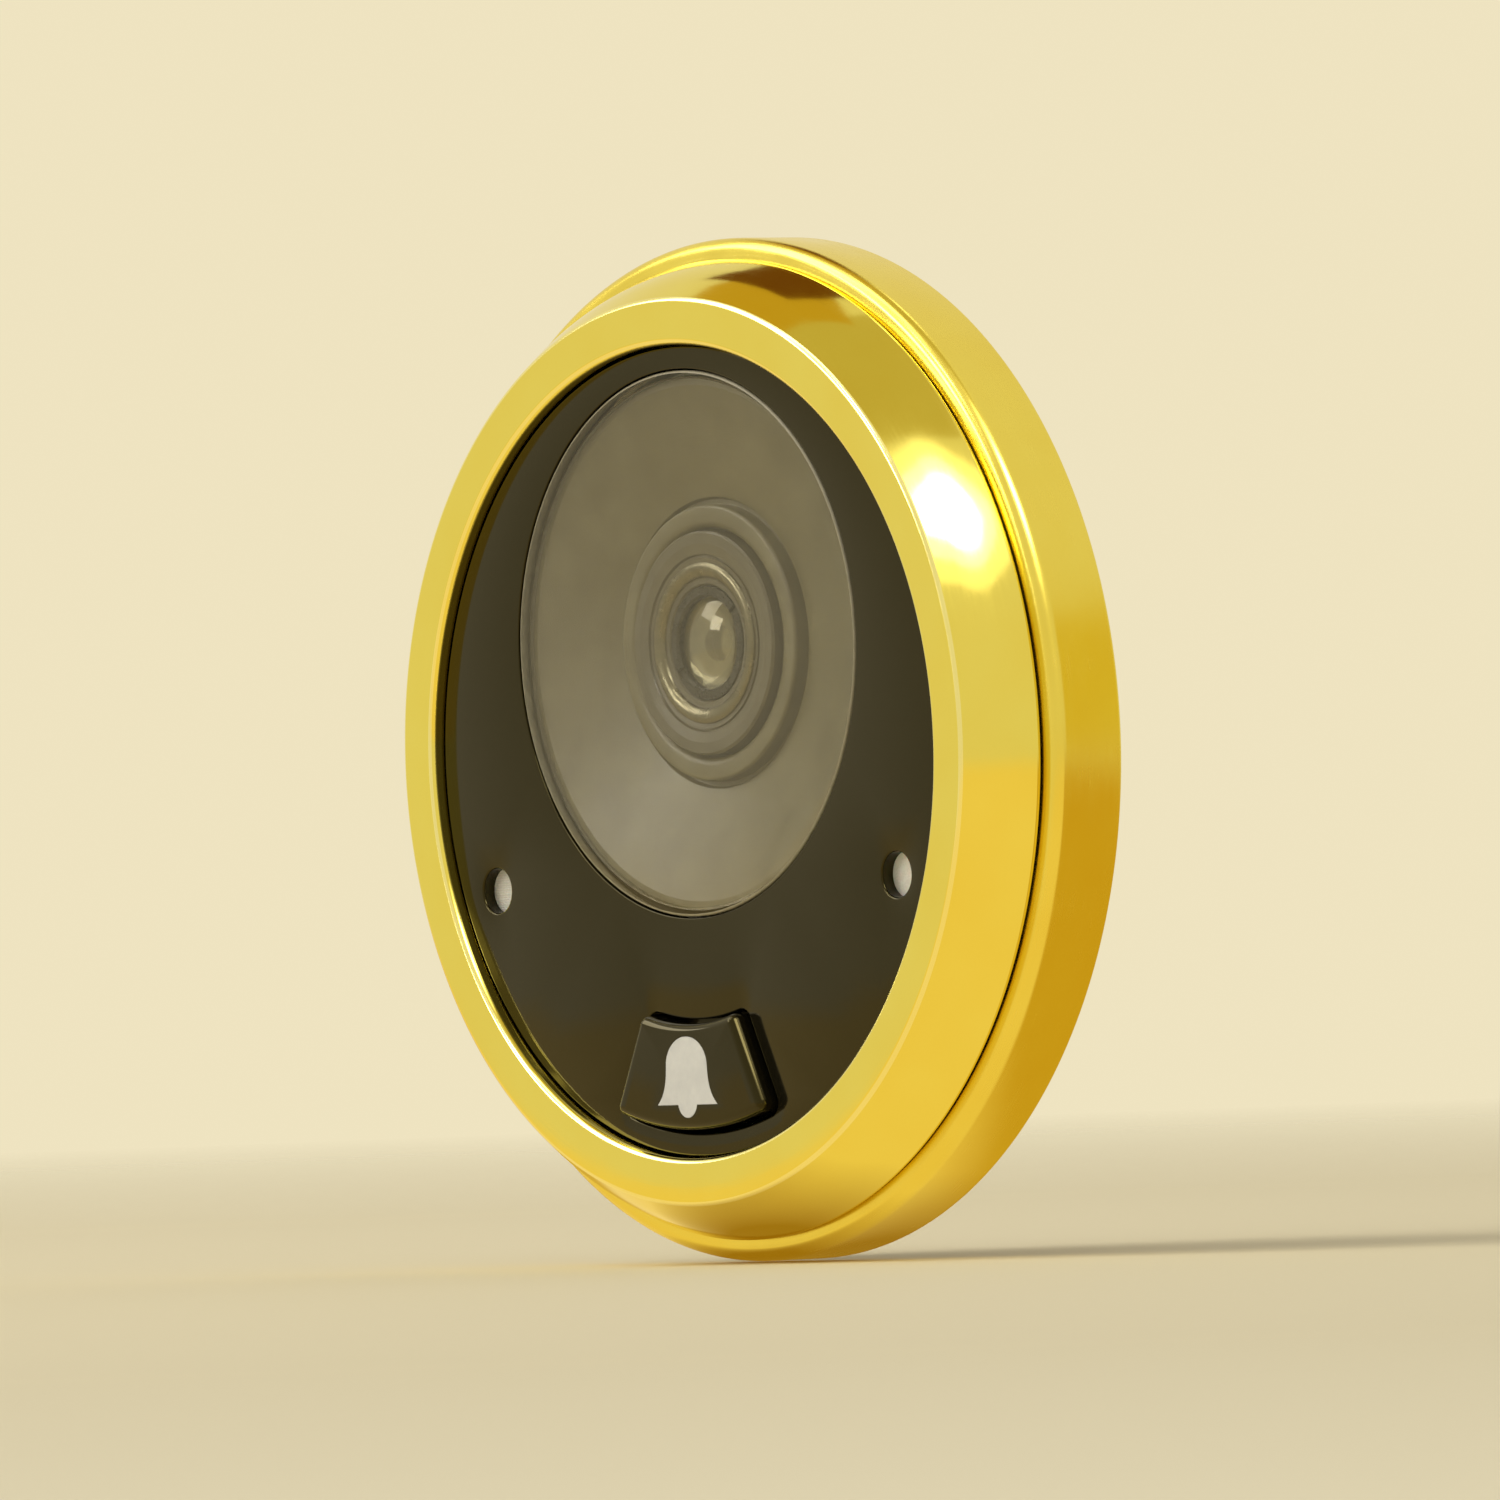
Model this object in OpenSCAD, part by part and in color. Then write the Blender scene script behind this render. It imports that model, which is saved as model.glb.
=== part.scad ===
// Outdoor unit of a door viewer camera: gold ring and base, black face, camera window, bell key.
// Lengths are millimetres. Pieces are drawn looking at the face, x right, y up, z out of the door,
// and turned so that z up stays up and the face looks along minus Y.
// The origin is the centre of the rear face that sits on the door.

/* [Door base] */
// Outer diameter of the base
base_d = 58; // [54:0.5:66]
// Depth of the base rim
base_h = 4.7; // [4:0.1:6]
// Thickness of the base floor
base_floor = 1.2; // [1:0.1:1.8]
// Thickness of the base rim
base_wall = 2.2; // [1.6:0.1:2.6]
// Rounding of the base's front edge
base_edge_r = 1; // [0.4:0.1:1.2]
// Chamfer of the base's rear edge
base_back_edge = 0.3; // [0.1:0.1:0.6]
// Thickness of the foam pad on the door
pad_t = 0.5; // [0.3:0.1:1.2]
// How far the foam pad stays inside the base's edge
pad_inset = 1.4; // [0.8:0.1:3]
// Width of the free ring between stem and foam pad
pad_bore_gap = 3; // [1:0.5:6]

/* [Threaded stem] */
// Outer diameter of the stem
stem_d = 14; // [12:0.5:15]
// Diameter of the stem's threaded bore
stem_bore_d = 10; // [8:0.5:10.5]
// Length of the stem behind the door face
stem_len = 15; // [10:0.5:16]
// Chamfer of the stem's end
stem_chamfer = 0.6; // [0.2:0.1:1]
// How far the collar stands outside the thread
collar_step = 0.8; // [0.6:0.1:1.4]
// How far the collar's flats stand outside the thread
collar_flat = 0.1; // [0.05:0.05:0.4]
// How far the stem's head stands outside the collar
head_step = 1.5; // [0.8:0.1:2.5]
// How far the wide part of the bore reaches behind the door face
relief_depth = 3; // [2:0.5:5]
// How much wider that part is than the threaded bore
relief_step = 0.5; // [0.2:0.1:0.8]

/* [Bezel ring] */
// How far the base stands outside the ring
base_step = 1.1; // [0.5:0.1:2]
// Width of the ring's front
ring_w = 4.9; // [4.2:0.1:6]
// Rounding of the ring's outer edge
ring_edge_r = 1.8; // [0.6:0.1:2.4]
// Rounding of the ring's inner edge
lip_edge_r = 0.4; // [0.1:0.05:0.5]
// How far the face lies behind the ring's front
lip_depth = 0.9; // [0.5:0.1:1.5]
// Width of the ledge under the panel
ledge_w = 1.1; // [0.8:0.1:1.6]
// Thickness of that ledge
ledge_t = 1.2; // [0.8:0.1:1.6]
// Thickness of the skirt inside the base
skirt_t = 1.6; // [1.4:0.1:2]
// Dark gap between ring and base
shadow_gap = 0.15; // [0.1:0.05:0.4]
// Diameter of the seal's section
seal_d = 0.9; // [0.6:0.1:1]

/* [Screws] */
// Diameter of the screw bosses
boss_d = 4.6; // [3.8:0.1:5]
// Diameter of the screw shanks
screw_d = 1.9; // [1.6:0.1:2.2]
// Diameter of the screw heads
screw_head_d = 3.6; // [3:0.1:4]
// Height of the screw heads
screw_head_h = 0.5; // [0.3:0.05:0.55]
// Slot in the screw heads
screw_slot = 0.4; // [0.3:0.05:0.6]

/* [Face panel] */
// Thickness of the face panel
panel_t = 1.6; // [1.2:0.1:2]
// Thickness of the adhesive rings
tape_t = 0.2; // [0.1:0.05:0.3]
// Diameter of the two small holes
hole_d = 2.6; // [2:0.1:3]
// Thickness of the panel left in front of what sits in those holes
hole_web = 0.8; // [0.4:0.1:1]
// How far the small holes lie below the middle, as an angle
hole_angle = 22; // [12:1:30]
// Width of the rim on what sits in the small holes
hole_rim = 0.45; // [0.3:0.05:0.6]

/* [Window] */
// Diameter of the camera window
window_d = 30.9; // [28:0.1:32]
// Thickness of the window's front at its edge
window_wall = 0.9; // [0.7:0.1:1.2]
// Thickness of the window's side wall
window_side = 0.4; // [0.3:0.05:0.8]
// How far the window is domed
window_dome = 0.5; // [0.2:0.1:0.8]
// Width of the window's hidden rim
window_rim_w = 1.2; // [0.8:0.1:1.5]
// Thickness of that rim
window_rim_t = 0.7; // [0.5:0.1:0.9]
// Distance from the window to the ledge at the top
window_top_gap = 0.35; // [0.2:0.05:0.8]

/* [Lens shroud] */
// Wall of the ring around the lens
shroud_ring_w = 1; // [0.6:0.1:1.6]
// Thickness of the funnel
shroud_t = 0.9; // [0.6:0.1:1.1]
// Height of the ring above the funnel
shroud_ring_h = 0.7; // [0.4:0.1:1]
// Thickness of the shroud's clamping rim
shroud_rim_t = 0.6; // [0.4:0.1:0.8]
// Width of the funnel's front edge
shroud_edge_w = 0.45; // [0.3:0.05:0.8]

/* [Camera module] */
// Width of the image sensor
sensor_w = 6.4; // [5:0.1:6.8]
// Height of the image sensor on the face
sensor_l = 5.6; // [4:0.1:6.8]
// Thickness of the image sensor
sensor_t = 0.5; // [0.4:0.05:0.8]
// Air above the image sensor
sensor_air = 0.3; // [0.2:0.05:0.8]
// Wall of the lens holder
holder_wall = 0.5; // [0.4:0.05:0.8]
// Thickness of the seat under the filter
seat_t = 0.3; // [0.2:0.05:0.5]
// Diameter of the light path through that seat
seat_d = 4.8; // [4:0.1:6]
// Thickness of the infrared filter
filter_t = 0.3; // [0.2:0.05:0.4]
// Diameter of the lens barrel's thread
barrel_d = 8; // [7.6:0.1:8.2]
// Diameter of the lens barrel's head
barrel_head_d = 12.6; // [11.6:0.1:12.8]
// Thickness of the barrel's rear lip
barrel_lip_t = 0.15; // [0.1:0.05:0.4]
// Depth of the dish in the barrel's front
barrel_dish = 0.3; // [0.1:0.05:0.5]
// Width of the rim around that dish
barrel_rim_w = 0.7; // [0.4:0.1:1.2]
// Diameter of the rear glass
rear_glass_d = 4.2; // [3.6:0.1:4.6]
// Thickness of the rear glass
rear_glass_t = 0.5; // [0.4:0.05:0.9]
// Thickness of the aperture stop
stop_t = 0.2; // [0.1:0.05:0.3]
// Diameter of the aperture
stop_hole_d = 1.8; // [1:0.1:2.6]
// Air between stop and front glass
glass_air = 0.2; // [0.1:0.05:0.6]
// Diameter of the front glass
front_glass_d = 6.4; // [6:0.1:7.4]
// Edge thickness of the front glass
front_glass_t = 0.35; // [0.3:0.05:0.6]
// Height of the front glass's crown
glass_crown = 0.7; // [0.5:0.05:1]
// Width of the hollow in the front glass's back
glass_hollow_d = 3.6; // [2:0.1:4]
// Width of the retaining ring
retainer_w = 0.6; // [0.4:0.05:0.9]
// Height of the retaining ring
retainer_h = 0.4; // [0.3:0.05:0.6]
// Free space between front glass and window
lens_clear = 1; // [0.3:0.05:1.4]

/* [Board] */
// Thickness of the board
board_t = 0.8; // [0.6:0.1:1.2]
// Height of the board above the base floor
board_lift = 0.6; // [0.4:0.1:1]
// Width of the image processor
chip_w = 6; // [4:0.5:6.5]
// Thickness of the image processor
chip_t = 0.9; // [0.6:0.1:1.2]
// Length of the board's capacitors
cap_l = 1.6; // [1:0.1:2]
// Width of the cable socket
socket_w = 6; // [4:0.1:6.4]
// Thickness of the cable socket
socket_l = 3.4; // [2:0.1:4]
// Height of the cable socket
socket_h = 3; // [2:0.1:3.6]
// Depth of the socket's opening
socket_depth = 2; // [1:0.1:2.4]
// Wall at the ends of the cable socket
socket_end_t = 0.6; // [0.4:0.05:1]
// Wall at the sides of the cable socket
socket_side_t = 0.7; // [0.4:0.05:0.8]
// Width of the microphone and the light sensor
pickup_w = 3.8; // [3.4:0.1:4.2]
// Height of the microphone and the light sensor above the board
pickup_h = 1; // [0.7:0.1:1.4]

/* [Bell key] */
// Height of the key on the face
key_h = 6; // [4:0.1:6.4]
// Width of the key at its upper edge
key_top_w = 8.4; // [7:0.1:11]
// Slant of the key's sides
key_flare = 26; // [18:0.5:32]
// Gap around the key
key_gap = 0.25; // [0.15:0.05:0.3]
// Distance from the key to the ledge
key_ledge_gap = 0.5; // [0.4:0.05:1.5]
// Rounding of the key's corners
key_corner_r = 0.5; // [0.3:0.1:0.9]
// How far the key stands in front of the face
key_proud = 1.05; // [0:0.05:1.4]
// Travel of the key
key_travel = 0.5; // [0.2:0.05:0.6]
// Width of the rim that keeps the key behind the face
key_rim_w = 0.6; // [0.4:0.1:1]
// Thickness of that rim
key_rim_t = 0.5; // [0.4:0.05:0.6]
// Bell pictogram height as a share of the key's height
bell_share = 0.77; // [0.5:0.01:0.9]
// Depth of the bell pictogram in the key
bell_t = 0.6; // [0.3:0.05:1]
// Width of the push switch
switch_w = 4.4; // [3.6:0.1:5]
// Height of the push switch
switch_h = 1.5; // [1.2:0.1:1.8]
// Diameter of the switch plunger
plunger_d = 2.2; // [1.6:0.1:2.6]
// How far the plunger stands above the switch
plunger_proud = 0.9; // [0.7:0.05:1]

/* [Clearances] */
// Gap between skirt and base rim
skirt_gap = 0.1; // [0.05:0.05:0.2]
// Gap around the panel and around the window
panel_gap = 0.1; // [0.05:0.05:0.2]
// Gap between parts that stay still side by side
part_gap = 0.3; // [0.2:0.05:0.4]
// Gap around parts that sit in a bore
bore_gap = 0.05; // [0.02:0.01:0.1]
// Gap at the corners of the lens holder
holder_gap = 0.2; // [0.1:0.05:0.3]

/* [Hidden] */
$fn = 96;
cut = 1;
arc_steps = 8;
edge_fn = 32;
dome_steps = 24;
bell_steps = 14;
bell_half_share = 0.6;
bell_waist_share = 0.68;
bell_shoulder_share = 0.42;
bell_flare = 5;
bell_body_share = 0.84;
clapper_share = 0.19;
plunger_floor = 0.3;
switch_floor = 0.2;
screw_turns = [45, 135, 225, 315];
cap_spots = [[-11, -8], [-8.5, -10.5], [-13, -4], [13, -3], [3.5, -10.5], [-4, -11]];

// Radii from the outside in
base_r = base_d / 2;
base_in_r = base_r - base_wall;
bezel_r = base_r - base_step;
lip_r = bezel_r - ring_w;
panel_r = lip_r - panel_gap;
ledge_r = lip_r - ledge_w;
skirt_r = base_in_r - skirt_gap;
skirt_in_r = skirt_r - skirt_t;
seal_r = seal_d / 2;
seal_path_r = base_in_r - bore_gap - seal_r;
groove_r = seal_path_r - seal_r - bore_gap;
boss_r = boss_d / 2;
boss_path_r = skirt_in_r - boss_r + skirt_t / 2;
inner_r = boss_path_r - boss_r - part_gap;
board_r = base_in_r - part_gap;
pad_r = base_r - pad_inset;

// Stem
stem_r = stem_d / 2;
stem_bore_r = stem_bore_d / 2;
relief_r = stem_bore_r + relief_step;
collar_r = stem_r + collar_step;
collar_flat_r = stem_r + collar_flat;
head_r = collar_r + head_step;
head_t = base_floor / 2;

// Levels from the door outwards
back_z = pad_t;
floor_z = back_z + base_floor;
head_z = floor_z - head_t;
screw_seat_z = back_z + base_floor / 2;
rim_z = back_z + base_h;
board_z = floor_z + board_lift;
top_z = board_z + board_t;
sensor_z = top_z + sensor_t;
seat_z = sensor_z + sensor_air;
filter_z = seat_z + seat_t;
barrel_z = filter_z + filter_t + bore_gap;
rear_glass_z = barrel_z + barrel_lip_t;
stop_z = rear_glass_z + rear_glass_t;
holder_top_z = stop_z;
barrel_head_z = holder_top_z + bore_gap;
glass_seat_z = stop_z + stop_t + glass_air;
glass_edge_z = glass_seat_z + front_glass_t;
barrel_front_z = glass_edge_z + retainer_h;
barrel_rim_z = barrel_front_z + barrel_dish;
crown_z = glass_edge_z + glass_crown;
window_back_z = max(crown_z, barrel_rim_z) + lens_clear;
face_z = window_back_z + window_wall;
front_z = face_z + lip_depth;
panel_back_z = face_z - panel_t;
ledge_z = panel_back_z - tape_t;
ledge_back_z = ledge_z - ledge_t;
skirt_z = top_z + part_gap;
shoulder_z = rim_z + shadow_gap;
seal_z = (skirt_z + rim_z) / 2;
window_rim_z = panel_back_z - tape_t - window_rim_t;
shroud_rim_z = window_rim_z - shroud_rim_t;
shroud_front_z = window_back_z - part_gap;
shroud_ring_z = glass_edge_z;
funnel_z = shroud_ring_z - shroud_ring_h;

// Window and lens
window_r = window_d / 2;
lens_y = ledge_r - window_top_gap - window_r;
window_in_r = window_r - window_side;
window_rim_r = window_r + window_rim_w;
dome_r = (window_r * window_r + window_dome * window_dome) / (2 * window_dome);
shroud_r = window_in_r - bore_gap;
barrel_r = barrel_d / 2;
barrel_head_r = barrel_head_d / 2;
holder_w = barrel_d + 2 * holder_wall;
shroud_bore_r = max(barrel_head_r + part_gap, holder_w * sqrt(0.5) + holder_gap);
shroud_ring_r = shroud_bore_r + shroud_ring_w;
front_glass_r = front_glass_d / 2;
rear_glass_r = rear_glass_d / 2;
crown_base_r = front_glass_r - retainer_w - bore_gap;
crown_r = (crown_base_r * crown_base_r + glass_crown * glass_crown) / (2 * glass_crown);
hollow_depth = front_glass_t / 2;
hollow_base_r = glass_hollow_d / 2;
hollow_r = (hollow_base_r * hollow_base_r + hollow_depth * hollow_depth) / (2 * hollow_depth);
stop_r = rear_glass_r + retainer_w;
rear_bulge = rear_glass_t / 3;
rear_bulge_r = (rear_glass_r * rear_glass_r + rear_bulge * rear_bulge) / (2 * rear_bulge);
filter_r = barrel_r - part_gap;

// Small holes
hole_r = hole_d / 2;
pickup_r = hole_r + hole_rim;
pickup_path_r = ledge_r - part_gap - pickup_r;
pickup_x = pickup_path_r * cos(hole_angle);
pickup_y = -pickup_path_r * sin(hole_angle);
pickup_z = top_z + pickup_h;
hole_floor_z = face_z - hole_web;
chip_x = 8.5;
chip_y = -9.5;

// Key
key_out_r = ledge_r - key_ledge_gap;
key_in_r = key_out_r - key_h;
key_mid_r = (key_in_r + key_out_r) / 2;
key_corner_x = key_top_w / 2;
key_tip_y = key_corner_x / tan(key_flare) - sqrt(key_in_r * key_in_r - key_corner_x * key_corner_x);
key_rim_z = panel_back_z - bore_gap - key_rim_t;
key_front_z = face_z + key_proud;
plunger_r = plunger_d / 2;
switch_z = top_z + switch_h;
plunger_z = switch_z + plunger_proud;
plunger_low_z = top_z + key_travel + plunger_floor;
switch_floor_z = top_z + switch_floor;
bell_h = (key_out_r - key_in_r) * bell_share;
bell_half = bell_h * bell_half_share;
bell_body = bell_h * bell_body_share;
clapper_r = bell_h * clapper_share;

function arc(x, y, r, from, to) =
  [for (i = [0 : arc_steps])
    let (a = from + (to - from) * i / arc_steps)
      [x + r * cos(a), y + r * sin(a)]];

// Points from the rim of a dome to its middle, on a ball with its centre at a height
function dome_arc(centre_z, r, ball_r) =
  [for (i = [0 : dome_steps])
    let (x = r * (1 - i / dome_steps))
      [x, centre_z + sqrt(ball_r * ball_r - x * x)]];

// Half width of the bell at a share of its height, top to rim
function bell_side(t) =
  bell_half * (bell_waist_share * sqrt(1 - pow(1 - min(t / bell_shoulder_share, 1), 2))
    + (1 - bell_waist_share) * pow(t, bell_flare));

module on_door() {
  rotate([90, 0, 0])
    children();
}

module at_lens() {
  translate([0, lens_y, 0])
    children();
}

module turned(points) {
  rotate_extrude()
    polygon(points);
}

// Disc with a domed front that is part of a ball
module domed(low, rim, r, bulge, ball_r) {
  turned(concat([[0, low], [r, low]], dome_arc(rim + bulge - ball_r, r, ball_r)));
}

module disc(low, high, r) {
  translate([0, 0, low])
    cylinder(h = high - low, r = r);
}

module hoop(low, high, inner, outer) {
  translate([0, 0, low])
    linear_extrude(height = high - low)
      difference() {
        circle(r = outer);
        circle(r = inner);
      }
}

module block(low, high, w, l) {
  translate([-w / 2, -l / 2, low])
    cube([w, l, high - low]);
}

module at_screws() {
  for (a = screw_turns)
    rotate([0, 0, a])
      translate([boss_path_r, 0, 0])
        children();
}

module at_pickup(side) {
  translate([side * pickup_x, pickup_y, 0])
    children();
}

module double_d(low, high, r, flat) {
  intersection() {
    disc(low, high, r);
    block(low - cut, high + cut, 2 * flat, 4 * r);
  }
}

// Round gold dish with its floor behind the board
module base_dish() {
  low = [[0, back_z], [base_r - base_back_edge, back_z], [base_r, back_z + base_back_edge]];
  edge = arc(base_r - base_edge_r, rim_z - base_edge_r, base_edge_r, 0, 90);
  inside = [[base_in_r, rim_z], [base_in_r, floor_z], [0, floor_z]];
  color("gold")
    on_door()
      difference() {
        union() {
          turned(concat(low, edge, inside));
          at_screws()
            disc(floor_z - base_floor / 4, board_z, boss_r);
        }
        double_d(back_z - cut, floor_z, collar_r + bore_gap, collar_flat_r + bore_gap);
        disc(head_z, floor_z + cut, head_r + bore_gap);
        at_screws() {
          disc(back_z - cut, board_z + cut, screw_d / 2 + bore_gap);
          disc(back_z - cut, screw_seat_z, screw_head_d / 2 + bore_gap);
        }
      }
}

// Hollow stem, put in from the inside and held by its head
module threaded_stem() {
  low = [[stem_bore_r, -stem_len], [stem_r - stem_chamfer, -stem_len], [stem_r, stem_chamfer - stem_len]];
  high = [[stem_r, 0], [relief_r, 0], [relief_r, -relief_depth], [stem_bore_r, -relief_depth]];
  color("darkgoldenrod")
    on_door()
      union() {
        turned(concat(low, high));
        difference() {
          union() {
            double_d(0, head_z, collar_r, collar_flat_r);
            disc(head_z, floor_z, head_r);
          }
          disc(-cut, floor_z + cut, relief_r);
        }
      }
}

module seal_pad() {
  color("dimgray")
    on_door()
      hoop(0, pad_t, collar_r + pad_bore_gap, pad_r);
}

// Front ring with the ledge for the panel, the skirt and the screw bosses
module bezel_ring() {
  groove_low = seal_z - seal_r - bore_gap;
  groove_high = seal_z + seal_r + bore_gap;
  skirt = [[skirt_in_r, skirt_z], [skirt_r, skirt_z], [skirt_r, groove_low], [groove_r, groove_low],
    [groove_r, groove_high], [skirt_r, groove_high], [skirt_r, shoulder_z], [bezel_r, shoulder_z]];
  outer = arc(bezel_r - ring_edge_r, front_z - ring_edge_r, ring_edge_r, 0, 90);
  inner = arc(lip_r + lip_edge_r, front_z - lip_edge_r, lip_edge_r, 90, 180);
  ledge = [[lip_r, ledge_z], [ledge_r, ledge_z], [ledge_r, ledge_back_z], [skirt_in_r, ledge_back_z]];
  color("gold")
    on_door()
      difference() {
        union() {
          turned(concat(skirt, outer, inner, ledge));
          intersection() {
            at_screws()
              disc(top_z, ledge_back_z + ledge_t / 4, boss_r);
            disc(top_z - cut, ledge_z, skirt_in_r + skirt_t / 4);
          }
        }
        at_screws()
          disc(top_z - cut, ledge_back_z + ledge_t / 3, screw_d / 2 + bore_gap);
      }
}

module body_o_ring() {
  color("black")
    on_door()
      rotate_extrude()
        translate([seal_path_r, seal_z])
          circle(r = seal_r);
}

module case_screws() {
  color("silver")
    on_door()
      at_screws()
        difference() {
          union() {
            disc(screw_seat_z - screw_head_h, screw_seat_z, screw_head_d / 2);
            disc(screw_seat_z, ledge_back_z, screw_d / 2);
          }
          block(screw_seat_z - screw_head_h - cut, screw_seat_z - screw_head_h / 2,
            screw_slot, screw_head_d + cut);
        }
}

// Wedge of the key, widened on both sides
module key_wedge(grow) {
  reach = 2 * base_r;
  tip = key_tip_y + grow / sin(key_flare);
  side = reach * tan(key_flare);
  polygon([[0, tip], [-side, tip - reach], [side, tip - reach]]);
}

module key_outline(grow, outer_grow) {
  round_r = key_corner_r + grow;
  offset(r = round_r, $fn = edge_fn)
    offset(delta = -round_r)
      intersection() {
        difference() {
          circle(r = key_out_r + outer_grow);
          circle(r = key_in_r - grow);
        }
        key_wedge(grow);
      }
}

module front_panel() {
  color("black")
    on_door()
      difference() {
        disc(panel_back_z, face_z, panel_r);
        at_lens()
          disc(panel_back_z - cut, face_z + cut, window_r + panel_gap);
        translate([0, 0, panel_back_z - cut])
          linear_extrude(height = panel_t + 2 * cut)
            key_outline(key_gap, key_gap);
        for (side = [-1, 1])
          at_pickup(side) {
            disc(panel_back_z - cut, face_z + cut, hole_r);
            disc(panel_back_z - cut, hole_floor_z, pickup_r + bore_gap);
          }
      }
}

module panel_tape() {
  color("white")
    on_door()
      hoop(ledge_z, panel_back_z, ledge_r, panel_r);
}

// Clear cap with a domed front and a hidden rim behind the panel
module window_dome() {
  color("lightgray", 0.4)
    on_door()
      difference() {
        union() {
          at_lens()
            domed(window_rim_z, face_z, window_r, window_dome, dome_r);
          intersection() {
            at_lens()
              disc(window_rim_z, window_rim_z + window_rim_t, window_rim_r);
            disc(window_rim_z - cut, face_z, inner_r);
          }
        }
        at_lens()
          disc(window_rim_z - cut, window_back_z, window_in_r);
      }
}

module window_tape() {
  color("white")
    on_door()
      intersection() {
        at_lens()
          hoop(panel_back_z - tape_t, panel_back_z, window_r + panel_gap, window_rim_r);
        disc(window_rim_z, face_z, inner_r);
      }
}

// Grey funnel between window and lens, with the ring around the lens
module lens_shroud() {
  under_z = funnel_z - shroud_t;
  tube = [[shroud_bore_r, top_z], [shroud_ring_r, top_z], [shroud_ring_r, under_z]];
  wall = [[shroud_r - shroud_t, shroud_rim_z], [shroud_r, shroud_rim_z], [shroud_r, shroud_front_z]];
  funnel = [[shroud_r - shroud_edge_w, shroud_front_z], [shroud_ring_r, funnel_z]];
  lip = [[shroud_ring_r, shroud_ring_z], [shroud_bore_r, shroud_ring_z]];
  color("gray")
    on_door()
      union() {
        at_lens()
          turned(concat(tube, wall, funnel, lip));
        intersection() {
          at_lens()
            hoop(shroud_rim_z, window_rim_z, shroud_r - shroud_t / 2, window_rim_r);
          disc(shroud_rim_z - cut, face_z, inner_r);
        }
      }
}

module lens_holder() {
  color("dimgray")
    on_door()
      at_lens()
        difference() {
          block(top_z, holder_top_z, holder_w, holder_w);
          block(top_z - cut, seat_z, sensor_w + part_gap, sensor_l + part_gap);
          disc(seat_z - cut, filter_z + cut, seat_d / 2);
          disc(filter_z, holder_top_z + cut, barrel_r + bore_gap);
        }
}

// Stepped barrel with its thread in the holder and its head in the shroud's ring
module lens_barrel() {
  outer = [[rear_glass_r - retainer_w, barrel_z], [barrel_r, barrel_z], [barrel_r, barrel_head_z],
    [barrel_head_r, barrel_head_z], [barrel_head_r, barrel_rim_z],
    [barrel_head_r - barrel_rim_w, barrel_rim_z]];
  glass_bore = front_glass_r + bore_gap;
  stop_bore = stop_r + bore_gap;
  rear_bore = rear_glass_r + bore_gap;
  front = [[glass_bore + part_gap, barrel_front_z], [glass_bore, barrel_front_z],
    [glass_bore, glass_seat_z], [stop_bore, glass_seat_z]];
  back = [[stop_bore, stop_z], [rear_bore, stop_z], [rear_bore, rear_glass_z],
    [rear_glass_r - retainer_w, rear_glass_z]];
  color("black")
    on_door()
      at_lens()
        turned(concat(outer, front, back));
}

module glass_retainer() {
  color("dimgray")
    on_door()
      at_lens()
        hoop(glass_edge_z, barrel_front_z, front_glass_r - retainer_w, front_glass_r);
}

module front_glass() {
  color("lightblue", 0.5)
    on_door()
      at_lens()
        difference() {
          union() {
            disc(glass_seat_z, glass_edge_z, front_glass_r);
            domed(glass_seat_z, glass_edge_z, crown_base_r, glass_crown, crown_r);
          }
          translate([0, 0, glass_seat_z + hollow_depth - hollow_r])
            sphere(r = hollow_r);
        }
}

module aperture_stop() {
  color("black")
    on_door()
      at_lens()
        hoop(stop_z, stop_z + stop_t, stop_hole_d / 2, stop_r);
}

module rear_glass() {
  color("lightblue", 0.5)
    on_door()
      at_lens()
        domed(rear_glass_z, stop_z - rear_bulge, rear_glass_r, rear_bulge, rear_bulge_r);
}

module infrared_filter() {
  color("steelblue", 0.6)
    on_door()
      at_lens()
        disc(filter_z, filter_z + filter_t, filter_r);
}

module image_sensor() {
  color("darkslategray")
    on_door()
      at_lens()
        block(top_z, sensor_z, sensor_w, sensor_l);
}

module camera_board() {
  color("darkgreen")
    on_door()
      difference() {
        disc(board_z, top_z, board_r);
        at_screws()
          disc(board_z - cut, top_z + cut, screw_d / 2 + bore_gap);
      }
}

module image_processor() {
  color("black")
    on_door()
      translate([chip_x, chip_y, 0])
        block(top_z, top_z + chip_t, chip_w, chip_w);
}

module board_capacitors() {
  color("tan")
    on_door()
      for (spot = cap_spots)
        translate([spot[0], spot[1], 0])
          block(top_z, top_z + cap_l / 2, cap_l, cap_l / 2);
}

// Socket on the rear of the board, open towards the stem
module cable_socket() {
  color("ivory")
    on_door()
      difference() {
        block(board_z - socket_h, board_z, socket_w, socket_l);
        block(board_z - socket_h - cut, board_z - socket_h + socket_depth,
          socket_w - 2 * socket_end_t, socket_l - 2 * socket_side_t);
      }
}

module microphone() {
  color("silver")
    on_door()
      at_pickup(-1)
        block(top_z, pickup_z, pickup_w, pickup_w);
}

module sound_tube() {
  color("dimgray")
    on_door()
      at_pickup(-1)
        hoop(pickup_z, hole_floor_z - tape_t, pickup_r / 2, pickup_r);
}

module sound_membrane() {
  color("white")
    on_door()
      at_pickup(-1)
        disc(hole_floor_z - tape_t, hole_floor_z, pickup_r);
}

module light_sensor() {
  color("lightgray")
    on_door()
      at_pickup(1)
        block(top_z, pickup_z, pickup_w, pickup_w);
}

module light_guide() {
  color("white")
    on_door()
      at_pickup(1)
        disc(pickup_z, hole_floor_z, pickup_r);
}

module switch_body() {
  color("dimgray")
    on_door()
      translate([0, -key_mid_r, 0])
        difference() {
          block(top_z, switch_z, switch_w, switch_w);
          disc(switch_floor_z, switch_z + cut, plunger_r + bore_gap * 2);
        }
}

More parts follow.
